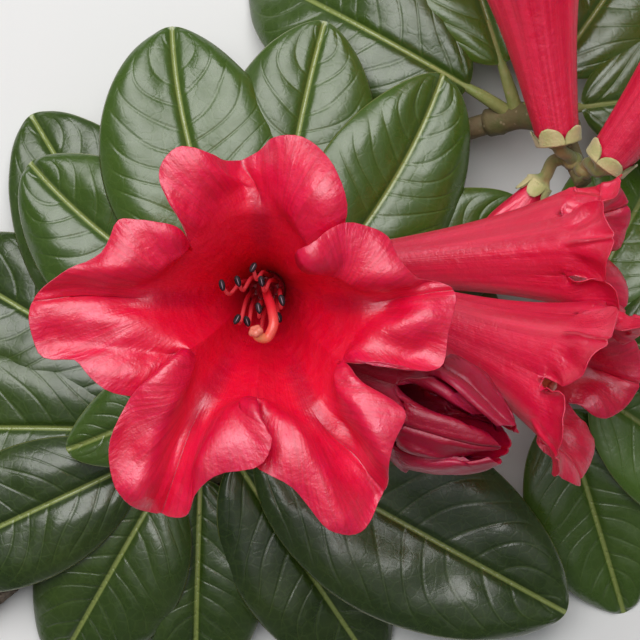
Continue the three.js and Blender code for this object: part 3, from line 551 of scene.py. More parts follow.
def corolla_mesh(shape, corolla, columns, tube_rows, lobe_rows, seed, stall):
    """Five lobes on their tube as one closed shell."""
    c = crowded(np.linspace(-1, 1, columns + 1)[:-1], 0.7)
    s = np.linspace(0, 1, tube_rows + 1)
    even_t = np.linspace(0, 1, lobe_rows + 1)[1:]
    t = lerp(even_t, np.sin(np.pi * even_t / 2), 0.6)
    rows = tube_rows + lobe_rows + 1
    middle = np.zeros((rows, 5 * columns, 3))
    rib = np.zeros((rows, 5 * columns))
    travel = []
    before = 0.0
    for lobe, margin in enumerate(corolla.margins):
        here = slice(lobe * columns, (lobe + 1) * columns)
        middle[:tube_rows + 1, here] = corolla.tube_point(lobe, *np.broadcast_arrays(c[None], s[:, None]))
        lc, lt = np.broadcast_arrays(np.append(c, 1.0)[None], t[:, None])
        base = corolla.smooth_lobe_point(lobe, lc, lt)
        height = corolla.relief(lobe, lc, lt) * smoothstep(lt, 0, 0.5) * (1 - lc**8)
        height += corolla.folded(lobe, base) * smoothstep(lt, 0, 0.35) * (1 - lc**8)
        height += fine_relief(corolla, lobe, lc, lt, base, seed) * np.minimum(1, 6 * lt)
        base = base + corolla.lobe_normals(lobe, lc, lt) * height[..., None]
        middle[tube_rows + 1:, here] = base[:, :-1]
        rib[:, here] = np.linalg.norm(middle[:, here] - middle[:, here][:, columns // 2][:, None], axis=-1)
        travel.append(before + margin.travelled(c))
        before += margin.curve.length
    edge = np.linalg.norm(middle - middle[-1], axis=-1).ravel()
    index = round_index(rows, 5 * columns)
    index[tube_rows + 1:, ::columns] = index[tube_rows, ::columns]
    depth = np.concatenate([s, 1 + t])
    uvs = uv_grid(np.append(travel, before) / UV_LENGTH, depth)
    thickness = lerp(MARGIN_THICKNESS, PETAL_THICKNESS, smoothstep(edge, 0, MARGIN_WIDTH))
    skins(shape, stall(middle.reshape(-1, 3)), index, uvs, thickness, edge=edge,
          depth=np.repeat(depth, 5 * columns), rib=rib.ravel())


def stall_of(mouth, facing):
    """Takes a bloom's own frame to the branch's."""
    facing = unit(facing)
    right = unit(np.cross([0, 1, 0], facing))
    basis = np.stack([right, np.cross(facing, right), facing])
    return lambda points: np.asarray(points, float) @ basis + mouth


# ---- stamens, pistils, stalks and buds
BUD = SimpleNamespace(tube=8, tip=10, foot=(0, 0), foot_radius=1.8, girth=3.5, widest=0.55)
KNEE_OUT, KNEE_UP = 0.45, 0.62
NECK_OUT, NECK_BELOW, NECK_DROP = 0.82, 2.0, 1.5
ANTHER_SIZE = (0.5, 0.92, 0.45)
MAIN_ANTHERS = [(2.9, 0, -6), (-0.2, 2.9, -6.5), (-1.5, 5, -7), (-3.8, 2.9, -6), (-6.2, 2.3, -6),
                (-3.9, -2.9, -5), (-2.4, -3.2, -6.5), (-0.6, -1.2, -5), (-0.9, -4.6, -7.5), (2.4, -2.6, -8)]
MAIN_STYLE = [(0.6, 0.6, -12), (1.4, -1.6, -6.2), (1.6, -3.9, -4.6), (0.6, -5.7, -4.6),
              (-0.6, -5.5, -3.9), (-1, -4.7, -3.2)]
REGULAR_STYLE = [(0, -1, -12), (0, -3, 1)]
STAMEN_COUNT = 10
# how far out and how far up from the tube's foot
STAMEN_DISC = [(0, -0.15), (2.9, -0.15), (3.0, 0.1), (2.7, 0.45), (2.0, 0.9), (1.5, 0.8), (1.2, 0.3),
               (0, 0.2)]


def regular_anthers(seed):
    random = random_from(seed)
    places = []
    for turn in 2 * np.pi * np.arange(STAMEN_COUNT) / STAMEN_COUNT:
        out = 3.2 + 1.6 * random()
        places.append((out * math.cos(turn), out * math.sin(turn) - 1.5, -4 - 5 * random()))
    return places


def filament_path(turn, tip, corolla):
    """From the ring at the tube's foot to the anther at its tip."""
    foot = ringed(STAMEN_RING_RADIUS, turn, STAMEN_BASE - corolla.tube_length, corolla.foot)
    knee = lerp(foot, tip, np.array([KNEE_OUT, KNEE_OUT, KNEE_UP]))
    neck = lerp(foot, tip, np.array([NECK_OUT, NECK_OUT, 1])) - [0, NECK_DROP, NECK_BELOW]
    return Curve([foot, knee, neck, tip])


def globe(rings, sides):
    """The angles down and round a globe."""
    return np.linspace(0, np.pi, rings + 1)[:, None], turns(sides)[None]


def anthers_mesh(shape, places, stall):
    """For each place two dark pollen sacs side by side, with a pale seam between them."""
    up, turn = globe(18, 24)
    pinch = 1 - 0.32 * np.abs(np.cos(turn)) ** 6 * np.sin(up) - 0.18 * bell(np.cos(up), 0.95, 0.2)
    wide, long, deep = ANTHER_SIZE
    sacs = spread(wide * np.sin(up) * np.sin(turn) * (1 + 0.1 * np.cos(up)), long * np.cos(up),
                  deep * np.sin(up) * np.cos(turn) * pinch)
    seam = (bell(np.sin(turn), 0, 0.22) * np.sin(up)).ravel()
    for k, place in enumerate(places):
        turned, tilt = 0.5 * math.sin(2.1 * k + 0.6), 0.45 * math.sin(2.3 * k)
        ct, st, c, s = math.cos(tilt), math.sin(tilt), math.cos(turned), math.sin(turned)
        points = sacs @ [[1, 0, 0], [0, ct, st], [0, -st, ct]] @ [[c, s, 0], [-s, c, 0], [0, 0, 1]]
        wrap(shape, stall(points + place + [0, 0, 0.2]), seam=seam)


def filaments_mesh(shape, places, corolla, stall):
    """A disc at the tube's foot, and a filament for each anther."""
    out, up = np.array(STAMEN_DISC).T[..., None]
    disc = ringed(out, turns(40), up - corolla.tube_length, corolla.foot)
    wrap(shape, stall(disc), np.zeros((len(out), 41, 2)))
    share = np.linspace(0, 1, 30)
    for k, place in enumerate(places):
        path = filament_path(2 * math.pi * k / len(places), place, corolla)
        tube(shape, stall(path.at(share)), FILAMENT_RADIUS * lerp(1, FILAMENT_TAPER, share), 10, up=share)


def pistil_mesh(shape, style, corolla, stall):
    """The ovary in the tube's foot, the style and its five-ribbed stigma."""
    base = PISTIL_BASE - corolla.tube_length
    path = Curve([(*corolla.foot, base), (*corolla.foot, base + 4), *style])
    share = np.linspace(0, 1, 110)
    thin, thick = STYLE_RADIUS
    radius = np.where(share < OVARY_SHARE, lerp(OVARY_RADIUS, thin, smoothstep(share, 0, OVARY_SHARE)),
                      lerp(thin, thick, share))
    tube(shape, stall(path.at(share)), radius, 20, up=share)
    before, end = path.at(np.array([0.985, 1.0]))
    along = unit(end - before)
    side = unit(np.cross(along, [0.3, 1, 0.2]))
    up, turn = globe(20, 30)
    ribbed = 1 + 0.07 * np.cos(5 * turn) * np.sin(up)
    flat = STIGMA_SIZE[0] * np.sin(up)
    dimple = 0.3 * bell(flat, 0, 0.45) * (np.cos(up) > 0)
    points = ringed(flat * ribbed, turn, STIGMA_SIZE[1] * np.cos(up) * ribbed - dimple)
    wrap(shape, stall(points @ np.stack([side, np.cross(along, side), along]) + end), flip=True, up=1.2)


def stalk_mesh(shape, bloom, stall, seed):
    """A stalk from its truss's axis to the corolla's foot, where it widens into the calyx."""
    foot = stall([*bloom.foot, -bloom.tube - GAP])
    start, end = np.array(bloom.rachis.start, float), np.array(bloom.rachis.end, float)
    axis = unit(end - start)
    on_axis = lerp(start, end, bloom.leave)
    away = foot - on_axis
    away = unit(away - axis * (away @ axis))
    leaving = on_axis + away * (lerp(*bloom.rachis.radius, bloom.leave) + GAP)
    before = foot - unit(bloom.facing) * min(CALYX_LENGTH, 0.3 * np.linalg.norm(leaving - foot))
    path = Curve([leaving, leaving + away * STALK_CLEAR, before, foot])
    share = np.linspace(0, 1, 90)
    middles = path.at(share)
    middles[0] -= away * STALK_SINK
    rim = bloom.foot_radius + CALYX_RIM
    radius = lerp(STALK_RADIUS, rim, smoothstep(share, 0.75, 1))
    radius[:3] += [0.7, 0.4, 0.15]

    def relief(travelled, turn):
        lobes = 0.22 * np.cos(5 * turn) * smoothstep(travelled / path.length, 0.82, 1)
        return lobes + 0.07 * skin_noise(travelled, turn, 3, 1.5, seed)

    tube(shape, middles, radius, 24, relief, calyx=smoothstep(share, 0.78, 0.93))
    calyx_lobes(shape, bloom, stall, rim, seed)


def calyx_lobes(shape, bloom, stall, rim, seed):
    """Five small rounded lobes that lie against the corolla's foot."""
    rows, columns = 12, 13
    index = np.arange(rows * columns).reshape(rows, columns)
    low = -bloom.tube - GAP - 0.5
    u, v = np.linspace(0, 1, rows)[:, None], np.linspace(-1, 1, columns)[None]
    width = 0.62 * np.sqrt(np.maximum(0, 1 - u**2.4)) + 0.001
    out = rim - 0.15 + 0.35 * u * (1 - 0.3 * v * v) + 0.2 * u**2
    for k in range(5):
        long = 2.4 + 0.9 * hashed(np.array([k, 3, 1]), seed)
        turn = 2 * np.pi * k / 5 + width * v
        points = ringed(out, turn, low + long * u, bloom.foot)
        skins(shape, stall(points.reshape(-1, 3)), index, np.zeros((rows, columns, 2)), CALYX_THICKNESS,
              calyx=1.0)


def bud_mesh(shape, stall, seed):
    """A closed bud whose five lobes wrap round one another."""
    rows, sides = 90, 100
    along = (1 - np.cos(np.linspace(0, np.pi, rows + 1)))[:, None] / 2
    turn = turns(sides)[None]
    body = lerp(BUD.foot_radius, BUD.girth, smoothstep(along, 0, BUD.widest))
    past = np.maximum(0, (along - BUD.widest) / (1 - BUD.widest))
    radius = np.maximum(0.02, body * np.sqrt(np.maximum(0, 1 - past * past)))
    lap = (5 * (turn / (2 * np.pi) - 0.22 * along)) % 1
    overlap = 0.34 * smoothstep(lap, 0, 0.12) * (1 - 0.75 * smoothstep(lap, 0.1, 1)) - 0.12
    overlap = overlap * smoothstep(along, 0.12, 0.4) * (1 - smoothstep(along, 0.96, 1))
    radius = radius + (overlap + 0.05 * skin_noise(3 * along, turn, 7, 1, seed)) * np.minimum(1, radius)
    points = ringed(radius, turn, lerp(-BUD.tube - 0.6, BUD.tip, along))
    points[[0, -1], 0, :2] = 0
    uvs = uv_grid(0.6 * np.arange(sides + 1) / sides, 0.9 * np.arange(rows + 1) / rows)
    wrap(shape, stall(points), uvs, edge=6.0, front=1.0, rib=5.0, depth=np.repeat(0.9 * along, sides))


# ---- leaves
LEAF_VEINS = 11


def midrib_of(leaf):
    """The midrib's places by their distance from its foot. It bends so that its tip is at its height."""
    total = PETIOLE + leaf.length
    bend = 0.0
    for _ in range(8):
        half = rad(bend) / 2
        reach = total if half == 0 else total * math.sin(half) / half
        bend = 2 * (leaf.rise - math.degrees(math.asin((leaf.tip_height - leaf.start[2]) / reach)))
    steps = 240
    along = (np.arange(steps) + 0.5) / steps
    pitch = rad(leaf.rise - bend * along)
    yaw = rad(leaf.bearing + leaf.sweep * (along - 0.5))
    headings = np.stack([np.cos(pitch) * np.cos(yaw), np.cos(pitch) * np.sin(yaw), np.sin(pitch)], -1)
    places = np.vstack([leaf.start, leaf.start + np.cumsum(headings * total / steps, axis=0)])
    marks = np.linspace(0, total, steps + 1)

    def at(distance):
        return np.stack([np.interp(distance, marks, places[:, k]) for k in range(3)], -1)

    return at


def turned_about(vectors, axes, angle):
    return (vectors * math.cos(angle) + np.cross(axes, vectors) * math.sin(angle)
            + axes * np.sum(axes * vectors, -1, keepdims=True) * (1 - math.cos(angle)))


def leaf_phase(u, v, size):
    """Its whole numbers are the side veins, which leave the midrib at an angle and curve to the tip."""
    uneven = 0.2 * np.sin(9.7 * u + 1.3) + 0.14 * np.sin(23 * u + 2 * (v > 0))
    return LEAF_VEINS * (u - 0.12 * size - 0.14 * size**2.2) + 0.35 * (v > 0) + uneven


def leaf_blade(shape, leaf, seed, tone, rows=92, columns=46):
    """One closed blade: over its top from edge to edge and back underneath."""
    at = midrib_of(leaf)
    u = (1 - np.cos(np.pi * np.arange(rows + 1) / rows)) / 2
    distance = PETIOLE + u * leaf.length
    along = unit(at(distance + 0.5) - at(distance - 0.5))
    across = turned_about(unit(np.cross(UP, along)), along, rad(leaf.roll))
    up = np.cross(along, across)
    v_top = crowded(np.linspace(-1, 1, columns + 1), 0.6)
    v = np.concatenate([v_top, v_top[-2:0:-1]])
    top = np.arange(2 * columns) <= columns
    uvs = uv_grid(np.append((v + 1) / 2, 0.0), u)[..., ::-1]
    u, v = u[:, None], v[None]
    wide = leaf.half_width * np.sin(np.pi * u**LEAF_SHOULDER) ** LEAF_FULLNESS
    size = np.abs(v)
    beside = size * wide
    edge = wide - beside
    phase = leaf_phase(u, v, size)
    field = smoothstep(beside, 0.6, 2.2) * (1 - size**4) * smoothstep(edge, 0, 2)
    vein = bell(np.abs((phase + 0.5) % 1 - 0.5), 0, 0.07) * field
    quilt = np.sin(np.pi * (phase % 1)) ** 2 * field
    place = spread(u * leaf.length / 13, v * wide / 13, 0.31 * seed)
    wave = (0.9 * noise(place, seed) + 0.35 * noise(2.3 * place, seed + 2)) * np.minimum(1, beside / 6 + 0.2)
    ruffle = 0.55 * noise(spread(u * leaf.length / 8 + 40 * np.sign(v), 0.0, 0.7 * seed), seed + 1) * size**4
    height = wide * (leaf.fold * np.sqrt(v * v + 0.0006) - leaf.curl * size**3) + wave + ruffle
    over = 0.1 * quilt - 0.07 * vein - 0.4 * bell(beside, 0, 0.6) + 0.1 * bell(beside, 1.4, 0.6)
    under = 0.3 * quilt - 0.3 * vein - 0.95 * bell(beside, 0, 0.85) * (1 - 0.75 * u)
    thick = LEAF_THICKNESS * np.sqrt(np.maximum(0, 1 - size**8)) / 2
    lift = height + np.where(top, over + thick, under - thick)
    lift = (lift * smoothstep(u, 0, 0.03) * smoothstep(1 - u, 0, 0.03))[..., None]
    points = at(distance)[:, None] + across[:, None] * (v * wide)[..., None] + up[:, None] * lift
    wrap(shape, points, uvs, flip=True, front=np.tile(top, rows + 1), beside=beside.ravel(),
         edge=edge.ravel(), tone=tone * (0.5 + hashed(np.array([seed, 5, 9]), 77)))


def petiole_mesh(shape, leaf, seed):
    """The leaf's stalk, which goes on as the midrib's lower part."""
    reach = PETIOLE + 0.16 * leaf.length
    distance = np.linspace(0, reach, 36)
    middles = midrib_of(leaf)(distance)
    radius = PETIOLE_RADIUS * lerp(1.0, 0.34, smoothstep(distance, 0.2 * PETIOLE, reach))
    middles[:, 2] -= radius * smoothstep(distance, 0.7 * PETIOLE, 1.2 * PETIOLE)
    tube(shape, middles, radius, 16, lambda travelled, turn: 0.05 * skin_noise(travelled, turn, 2, 3, seed),
         green=1.0)


def leaf(start, bearing, length, half_width, rise, tip_height, **more):
    return SimpleNamespace(start=start, bearing=bearing, length=length, half_width=half_width, rise=rise,
                           tip_height=tip_height, fold=0.25, curl=0.3, **{"roll": 0, "sweep": 0, **more})


WHORLS = {
    "lower": {
        "tone": 0.2,
        "stem": [(-19.5, -27.6, 7.35), (-14, -23, 8.6), (-8.6, -17.6, 10.9)],
        "leaves": [
            leaf((-14, -23, 8.4), 180, 52, 13.5, 10, RESTING, sweep=8),
            leaf((-15, -24, 10), 205, 48, 12, 16, 5),
            leaf((-14, -23, 9.6), 240, 42, 13, 14, RESTING),
            leaf((-11, -20, 9.5), 150, 50, 14, 8, RESTING),
            leaf((-10, -19, 10), 122, 54, 15, 6, 2.5),
            leaf((-12, -22, 9), 268, 40, 12, 8, RESTING),
            leaf((-11, -20, 10), 303, 48, 12.5, 8, RESTING),
            leaf((-10, -20, 11), 331, 62, 17, 10, 11),
        ],
    },
    "front": {
        "tone": 0.45,
        "stem": [(-1.5, -6, 19.2), (-0.2, -4.5, 22), (1.8, -3.2, 27.2)],
        "leaves": [
            leaf((-1, -4, 21), 145, 41, 13.5, 8, 18.4, sweep=-28, roll=-4),
            leaf((0, -4, 22.5), 108, 46, 16, 12, 21.5, sweep=-30),
            leaf((0.4, -3.6, 23), 80, 44, 14, 8, 21, sweep=-10),
            leaf((0.6, -4, 23.5), 56, 44, 13, 4, 20.5, sweep=30, roll=14),
            leaf((-0.6, -4.6, 23.4), 211, 32, 8, 3, 18.4, sweep=-24),
            leaf((0.4, -4.4, 22.6), 27, 40, 11, -4, 16.5, sweep=16, roll=4),
        ],
    },
    "side": {
        "tone": 0.6,
        "stem": [(38.7, 31.7, 10.2), (43.5, 32.6, 13.5), (49.2, 30.9, 20.2)],
        "leaves": [
            leaf((42, 33, 13), 150, 48, 14, 18, RESTING),
            leaf((43, 33, 14), 108, 50, 14, 14, RESTING),
            leaf((44, 32.6, 15), 55, 50, 14, 8, RESTING),
            leaf((45, 32.6, 16), 8, 50, 14, 4, 3),
        ],
    },
    "right": {
        "tone": 0.75,
        "stem": [(44.4, -9.5, 10.2), (50, -10, 13), (54.7, -10.9, 16.6)],
        "leaves": [
            leaf((49, -10, 12), 60, 40, 13, 10, RESTING),
            leaf((50, -10, 12.6), 10, 48, 14, 8, RESTING),
            leaf((49, -10.4, 12.4), 326, 42, 12, 4, RESTING),
            leaf((48.5, -10.4, 12), 288, 40, 12, -8, RESTING),
            leaf((48, -10.2, 12), 150, 30, 9, 0, 6),
        ],
    },
}

WHORL_STEM_RADII = (2.5, 2.2)
FRONT_RACHIS = SimpleNamespace(start=(2, -3, 27.6), end=(3.4, -1.8, 33.2), radius=(2.4, 1.6))
SIDE_RACHIS = SimpleNamespace(start=(49.8, 30, 21.6), end=(53, 20.5, 28), radius=(1.9, 1.5))
RIGHT_RACHIS = SimpleNamespace(start=(55.2, -11.1, 17.4), end=(56.2, -11.5, 19), radius=(1.8, 1.4))


def bloom(name, mouth, facing, rachis, leave, corolla=None, **more):
    """A bloom, or a bud where there is no corolla. leave is how far up its axis the stalk leaves."""
    own = BUD if corolla is None else SimpleNamespace(
        foot=corolla.foot, tube=corolla.tube_length, foot_radius=TUBE_FOOT)
    return SimpleNamespace(name=name, mouth=mouth, facing=facing, rachis=rachis, leave=leave, corolla=corolla,
                           foot=own.foot, tube=own.tube, foot_radius=own.foot_radius,
                           **{"paint": "fresh", "anthers": None, **more})


BLOOMS = [
    bloom("bloom_1", (0, 0, RIM_HEIGHT), (0, 0, 1), FRONT_RACHIS, 1, main_corolla(), grid=(80, 30, 84),
          anthers=MAIN_ANTHERS, style=MAIN_STYLE),
    bloom("bloom_2", (48, 8.4, 38), (0.95, 0.07, 0.22), FRONT_RACHIS, 0.3,
          regular_corolla(NARROW, 21, 104, [14, 28, 30, 46, 30]), grid=(48, 30, 46),
          anthers=regular_anthers(22), style=REGULAR_STYLE),
    bloom("bloom_3", (46, -10.6, 50), (0.85, -0.34, 0.32), FRONT_RACHIS, 0.7,
          regular_corolla(SHORT, 31, 76, [14, 38, 44, 42, 28]), grid=(48, 30, 46),
          anthers=regular_anthers(32), style=REGULAR_STYLE),
    bloom("bloom_4", (23, -16, 60.5), (0.86, -0.36, 0.36), FRONT_RACHIS, 0.95,
          regular_corolla(FOLDED, 41, 122, [2, -2, 0, -4, 0]), grid=(48, 24, 52), paint="fading"),
    bloom("side_bloom_1", (42.4, 60.2, 38.3), (-0.18, 0.96, 0.2), SIDE_RACHIS, 0.7,
          regular_corolla(OPEN, 51, 90, [40, 45, 50, 44, 38]), grid=(44, 26, 40)),
    bloom("side_bloom_2", (76.2, 49.3, 44.7), (0.58, 0.76, 0.3), SIDE_RACHIS, 0.9,
          regular_corolla(OPEN, 61, 54, [40, 36, 46, 50, 42]), grid=(44, 26, 40)),
    bloom("side_bud", (40.8, 13.4, 24.8), (-0.6, -0.78, -0.08), SIDE_RACHIS, 0.5),
    bloom("right_bud", (67.5, -11.5, 27.4), (0.9, -0.25, 0.35), RIGHT_RACHIS, 0.9),
]

STEP = 0.45
STEM_SIDES, YEARS = 72, 5
MAIN_STEM = [(-80, -74, 3.6), (-58, -57, 3.9), (-36, -40, 5), (-20, -28, 7.2)], (3.6, 3.0)
# name, its line, radii at both ends, sides
SHOOTS = [
    ("front_shoot", [(-8.1, -17.1, 11.2), (-4, -11.5, 14.5), (-1.8, -6.6, 18.6)], (2.7, 2.6), 48),
    ("side_shoot", [(-27.8, -27.2, 6.5), (-14, 2, 5), (14, 24, 6), (38, 31.5, 9.8)], (2.1, 1.9), 40),
    ("right_shoot", [(-17.5, -31.8, 6), (8, -25, 2.6), (30, -12, 4.6), (44, -9.5, 9.6)], (2.0, 1.8), 40),
]


# ---- the woody stem and its shoots
def bark_relief(travelled, turn):
    """Long shallow cracks between flat plates, and a knot here and there."""
    wander = 0.8 * skin_noise(travelled, turn, 1.8, 9, 3)
    plates = noise(ringed(3.96, turn, travelled / 7, (wander, 0)), 5)
    knots = sum(0.5 * bell(travelled, place, 2.2) * np.exp(2.5 * (np.cos(turn - side) - 1))
                for place, side in ((14, 0.6), (33, 2.9), (52, 4.6), (69, 1.5)))
    fine = 0.1 * skin_noise(travelled, turn, 10.8, 1.6, 7) + 0.18 * skin_noise(travelled, turn, 1.2, 11, 9)
    return knots + fine - 0.3 * bell(plates, 0, 0.16)


def shoot_relief(travelled, turn):
    """Smooth young bark with faint ridges and the scars of fallen leaves."""
    scars = sum(np.exp(5 * (np.cos(turn - 2.4 * k) - 1))
                * (0.28 * bell(travelled, 5.5 * k + 2.5, 0.9) - 0.22 * bell(travelled, 5.5 * k + 3, 0.35))
                for k in range(12))
    ridges = 0.05 * skin_noise(travelled, turn, 3.2, 6, 13)
    return ridges + 0.025 * skin_noise(travelled, turn, 8, 1.1, 15) + scars


def limb_places(places, step):
    """Even steps along a limb, and its direction at each of them."""
    path = Curve(places)
    middles = path.at(np.linspace(0, 1, max(8, int(path.length / step))))
    return middles, unit(np.gradient(middles, axis=0))


def limb_mesh(shape, places, radii, sides, relief=shoot_relief, step=STEP, reach=0.45):
    """A tapering limb that runs a little past both its ends, into what it grows from and into."""
    middles, along = limb_places(places, step)
    middles[0] -= along[0] * reach
    middles[-1] += along[-1] * reach
    tube(shape, middles, lerp(*radii, np.linspace(0, 1, len(middles))), sides, relief)


def cut_face(shape, places, radii):
    """The flat cut, with its growth rings standing a little proud of the softer wood between."""
    (middle, *_), (along, *_) = limb_places(places, STEP)
    rings = 40
    out = np.linspace(0, 1, rings)[:, None]
    turn = turns(STEM_SIDES)[None]
    reach = out * (radii[0] + bark_relief(0 * turn, turn) - 0.05)
    lift = 0.05 * np.cos(2 * np.pi * YEARS * out) + 0.05 * noise(ringed(9 * out, turn, 0), 21)
    lift = (0.12 + lift) * (1 - smoothstep(out, 0.9, 1)) - 0.12 * bell(out, 0, 0.06)
    side = unit(np.cross(along, UP))
    points = middle + ringed(reach, turn, -lift) @ [side, np.cross(along, side), along]
    uvs = uv_grid(np.arange(STEM_SIDES + 1) / STEM_SIDES, np.linspace(0, 1, rings))[..., ::-1]
    wrap(shape, points, uvs, (True, False), ring=np.repeat(out, STEM_SIDES))


# ---- materials
class Paint:
    """A Principled material and short names for the nodes that colour it."""

    def __init__(self, name, **sockets):
        self.material = bpy.data.materials.new(name)
        self.material.use_nodes = True
        self.tree = self.material.node_tree
        self.shader = self.tree.nodes["Principled BSDF"]
        for key, value in sockets.items():
            self.shader.inputs[key.replace("_", " ")].default_value = value
        self.position = self.node("ShaderNodeTexCoord").outputs["Object"]

    def node(self, kind, settings=None, **inputs):
        made = self.tree.nodes.new(kind)
        for key, value in (settings or {}).items():
            setattr(made, key, value)
        for key, value in inputs.items():
            self.put(made.inputs[key.replace("_", " ")], value)
        return made

    def put(self, socket, value):
        if isinstance(value, bpy.types.NodeSocket):
            self.tree.links.new(value, socket)
        else:
            socket.default_value = value

    def math(self, operation, *values):
        made = self.node("ShaderNodeMath", {"operation": operation})
        for socket, value in zip(made.inputs, values):
            self.put(socket, value)
        return made.outputs[0]

    def times(self, *values):
        return functools.reduce(functools.partial(self.math, "MULTIPLY"), values)

    def numbers(self, *names):
        return [self.node("ShaderNodeAttribute", {"attribute_name": name}).outputs["Fac"] for name in names]

    def uv(self):
        place = self.node("ShaderNodeUVMap", {"uv_map": "UVMap"}).outputs["UV"]
        return self.node("ShaderNodeSeparateXYZ", Vector=place).outputs[:2]

    def noise(self, scale, detail, roughness=0.5, at=None):
        return self.node("ShaderNodeTexNoise", Vector=self.position if at is None else at, Scale=scale,
                         Detail=detail, Roughness=roughness).outputs["Fac"]

    def cells(self, scale, feature):
        return self.node("ShaderNodeTexVoronoi", {"feature": feature}, Vector=self.position,
                         Scale=scale).outputs["Distance"]

    def streaks(self, x, y, detail):
        """Noise over two numbers, each given with its scale."""
        place = self.node("ShaderNodeCombineXYZ", X=self.times(*x), Y=self.times(*y)).outputs[0]
        return self.noise(1.0, detail, at=place)

    def ramp(self, value, low, high, to_low=0.0, to_high=1.0):
        return self.node("ShaderNodeMapRange", {"interpolation_type": "SMOOTHSTEP"}, Value=value,
                         From_Min=low, From_Max=high, To_Min=to_low, To_Max=to_high).outputs[0]

    def mix(self, share, a, b):
        made = self.node("ShaderNodeMix", {"data_type": "RGBA"})
        colours = [socket for socket in made.inputs if socket.type == "RGBA"]
        self.put(made.inputs[0], share)
        for socket, value in zip(colours, (a, b)):
            self.put(socket, value if isinstance(value, bpy.types.NodeSocket) else (*value, 1))
        return next(socket for socket in made.outputs if socket.type == "RGBA")

    def blend(self, value, low, high, a, b):
        """From one colour to another as a value goes from low to high."""
        return self.mix(self.ramp(value, low, high), a, b)

    def coats(self, colour, *coats):
        """Coats over a colour. Each is a share and a colour."""
        for share, tint in coats:
            colour = self.mix(share, colour, tint)
        return colour

    def finish(self, colour, roughness, *reliefs):
        """The finished material. Each relief is a height and how deep that is, in millimetres."""
        self.put(self.shader.inputs["Base Color"], colour)
        self.put(self.shader.inputs["Roughness"], roughness)
        normal = None
        for height, depth in reliefs:
            made = self.node("ShaderNodeBump", Strength=1.0, Distance=depth * MM, Height=height)
            if normal is not None:
                self.put(made.inputs["Normal"], normal)
            normal = made.outputs[0]
        self.put(self.shader.inputs["Normal"], normal)
        return self.material


# how fine each grain of a petal is, its detail, and how deep it is in millimetres
PETAL_GRAINS = [(520.0, 3.0, 0.2), (1500.0, 3.0, 0.08), (3800.0, 2.0, 0.03)]


def petal_paint(name, gloss, body, deep, tint, back, dark):
    paint = Paint(name, Subsurface_Weight=0.35, Subsurface_Radius=(1.0, 0.08, 0.08), Subsurface_Scale=0.002,
                  IOR=1.5, Specular_IOR_Level=gloss, Specular_Tint=(1.0, 0.86, 0.97, 1.0), Coat_Weight=0.2,
                  Coat_Roughness=0.36)
    u, v = paint.uv()
    travelled = paint.times(u, UV_LENGTH)
    edge, front, depth, rib = paint.numbers("edge", "front", "depth", "rib")
    inside = paint.math("SUBTRACT", 1.0, front)
    lines = paint.streaks((travelled, 0.95), (v, 1.6), 3.0)
    stripes = paint.streaks((travelled, 0.16), (v, 0.9), 2.0)
    crimps = paint.streaks((travelled, 1.3), (edge, 0.3), 2.0)
    outside = paint.blend(stripes, 0.36, 0.6, back, paint.mix(0.5, body, dark))
    # Darker stripes along each midrib's valley low in the throat: partly the petal's darker base, partly
    # painted shade in those valleys.
    dark_base_and_shade = paint.times(paint.ramp(depth, 0.55, 0.85), paint.ramp(depth, 1.5, 1.15), paint.ramp(rib, 2.6, 0.4))
    # A dark line along each lobe's midrib crease: painted shade in the crease.
    creased = paint.times(paint.ramp(rib, 0.35, 0.1), paint.ramp(depth, 1.1, 1.3, 0.0, 0.6))
    colour = paint.coats(
        paint.blend(paint.noise(170.0, 3.0), 0.35, 0.7, body, tint),
        (paint.times(paint.ramp(lines, 0.42, 0.62), 0.42), (0.46, 0.0, 0.018)),
        (paint.times(front, 0.75), outside),
        # The throat's own colour; on the fading bloom it is darker than its body, painted shade in its
        # hollow.
        (paint.times(paint.ramp(depth, 1.5, 0.9), inside), deep),
        # partly the petal's darker base, partly painted shade along the midrib valleys in the throat
        (paint.times(dark_base_and_shade, inside, 0.6), dark),
        # painted shade in the midrib crease
        (creased, (0.36, 0.0, 0.012)),
        (paint.ramp(edge, 0.5, 0.0, 0.0, 0.35), back))
    return paint.finish(
        colour, paint.ramp(paint.noise(420.0, 2.0), 0.3, 0.7, 0.36, 0.5),
        (paint.times(crimps, paint.ramp(edge, 4.0, 0.0)), 0.15), (lines, 0.09),
        *((paint.noise(scale, detail), deep) for scale, detail, deep in PETAL_GRAINS))


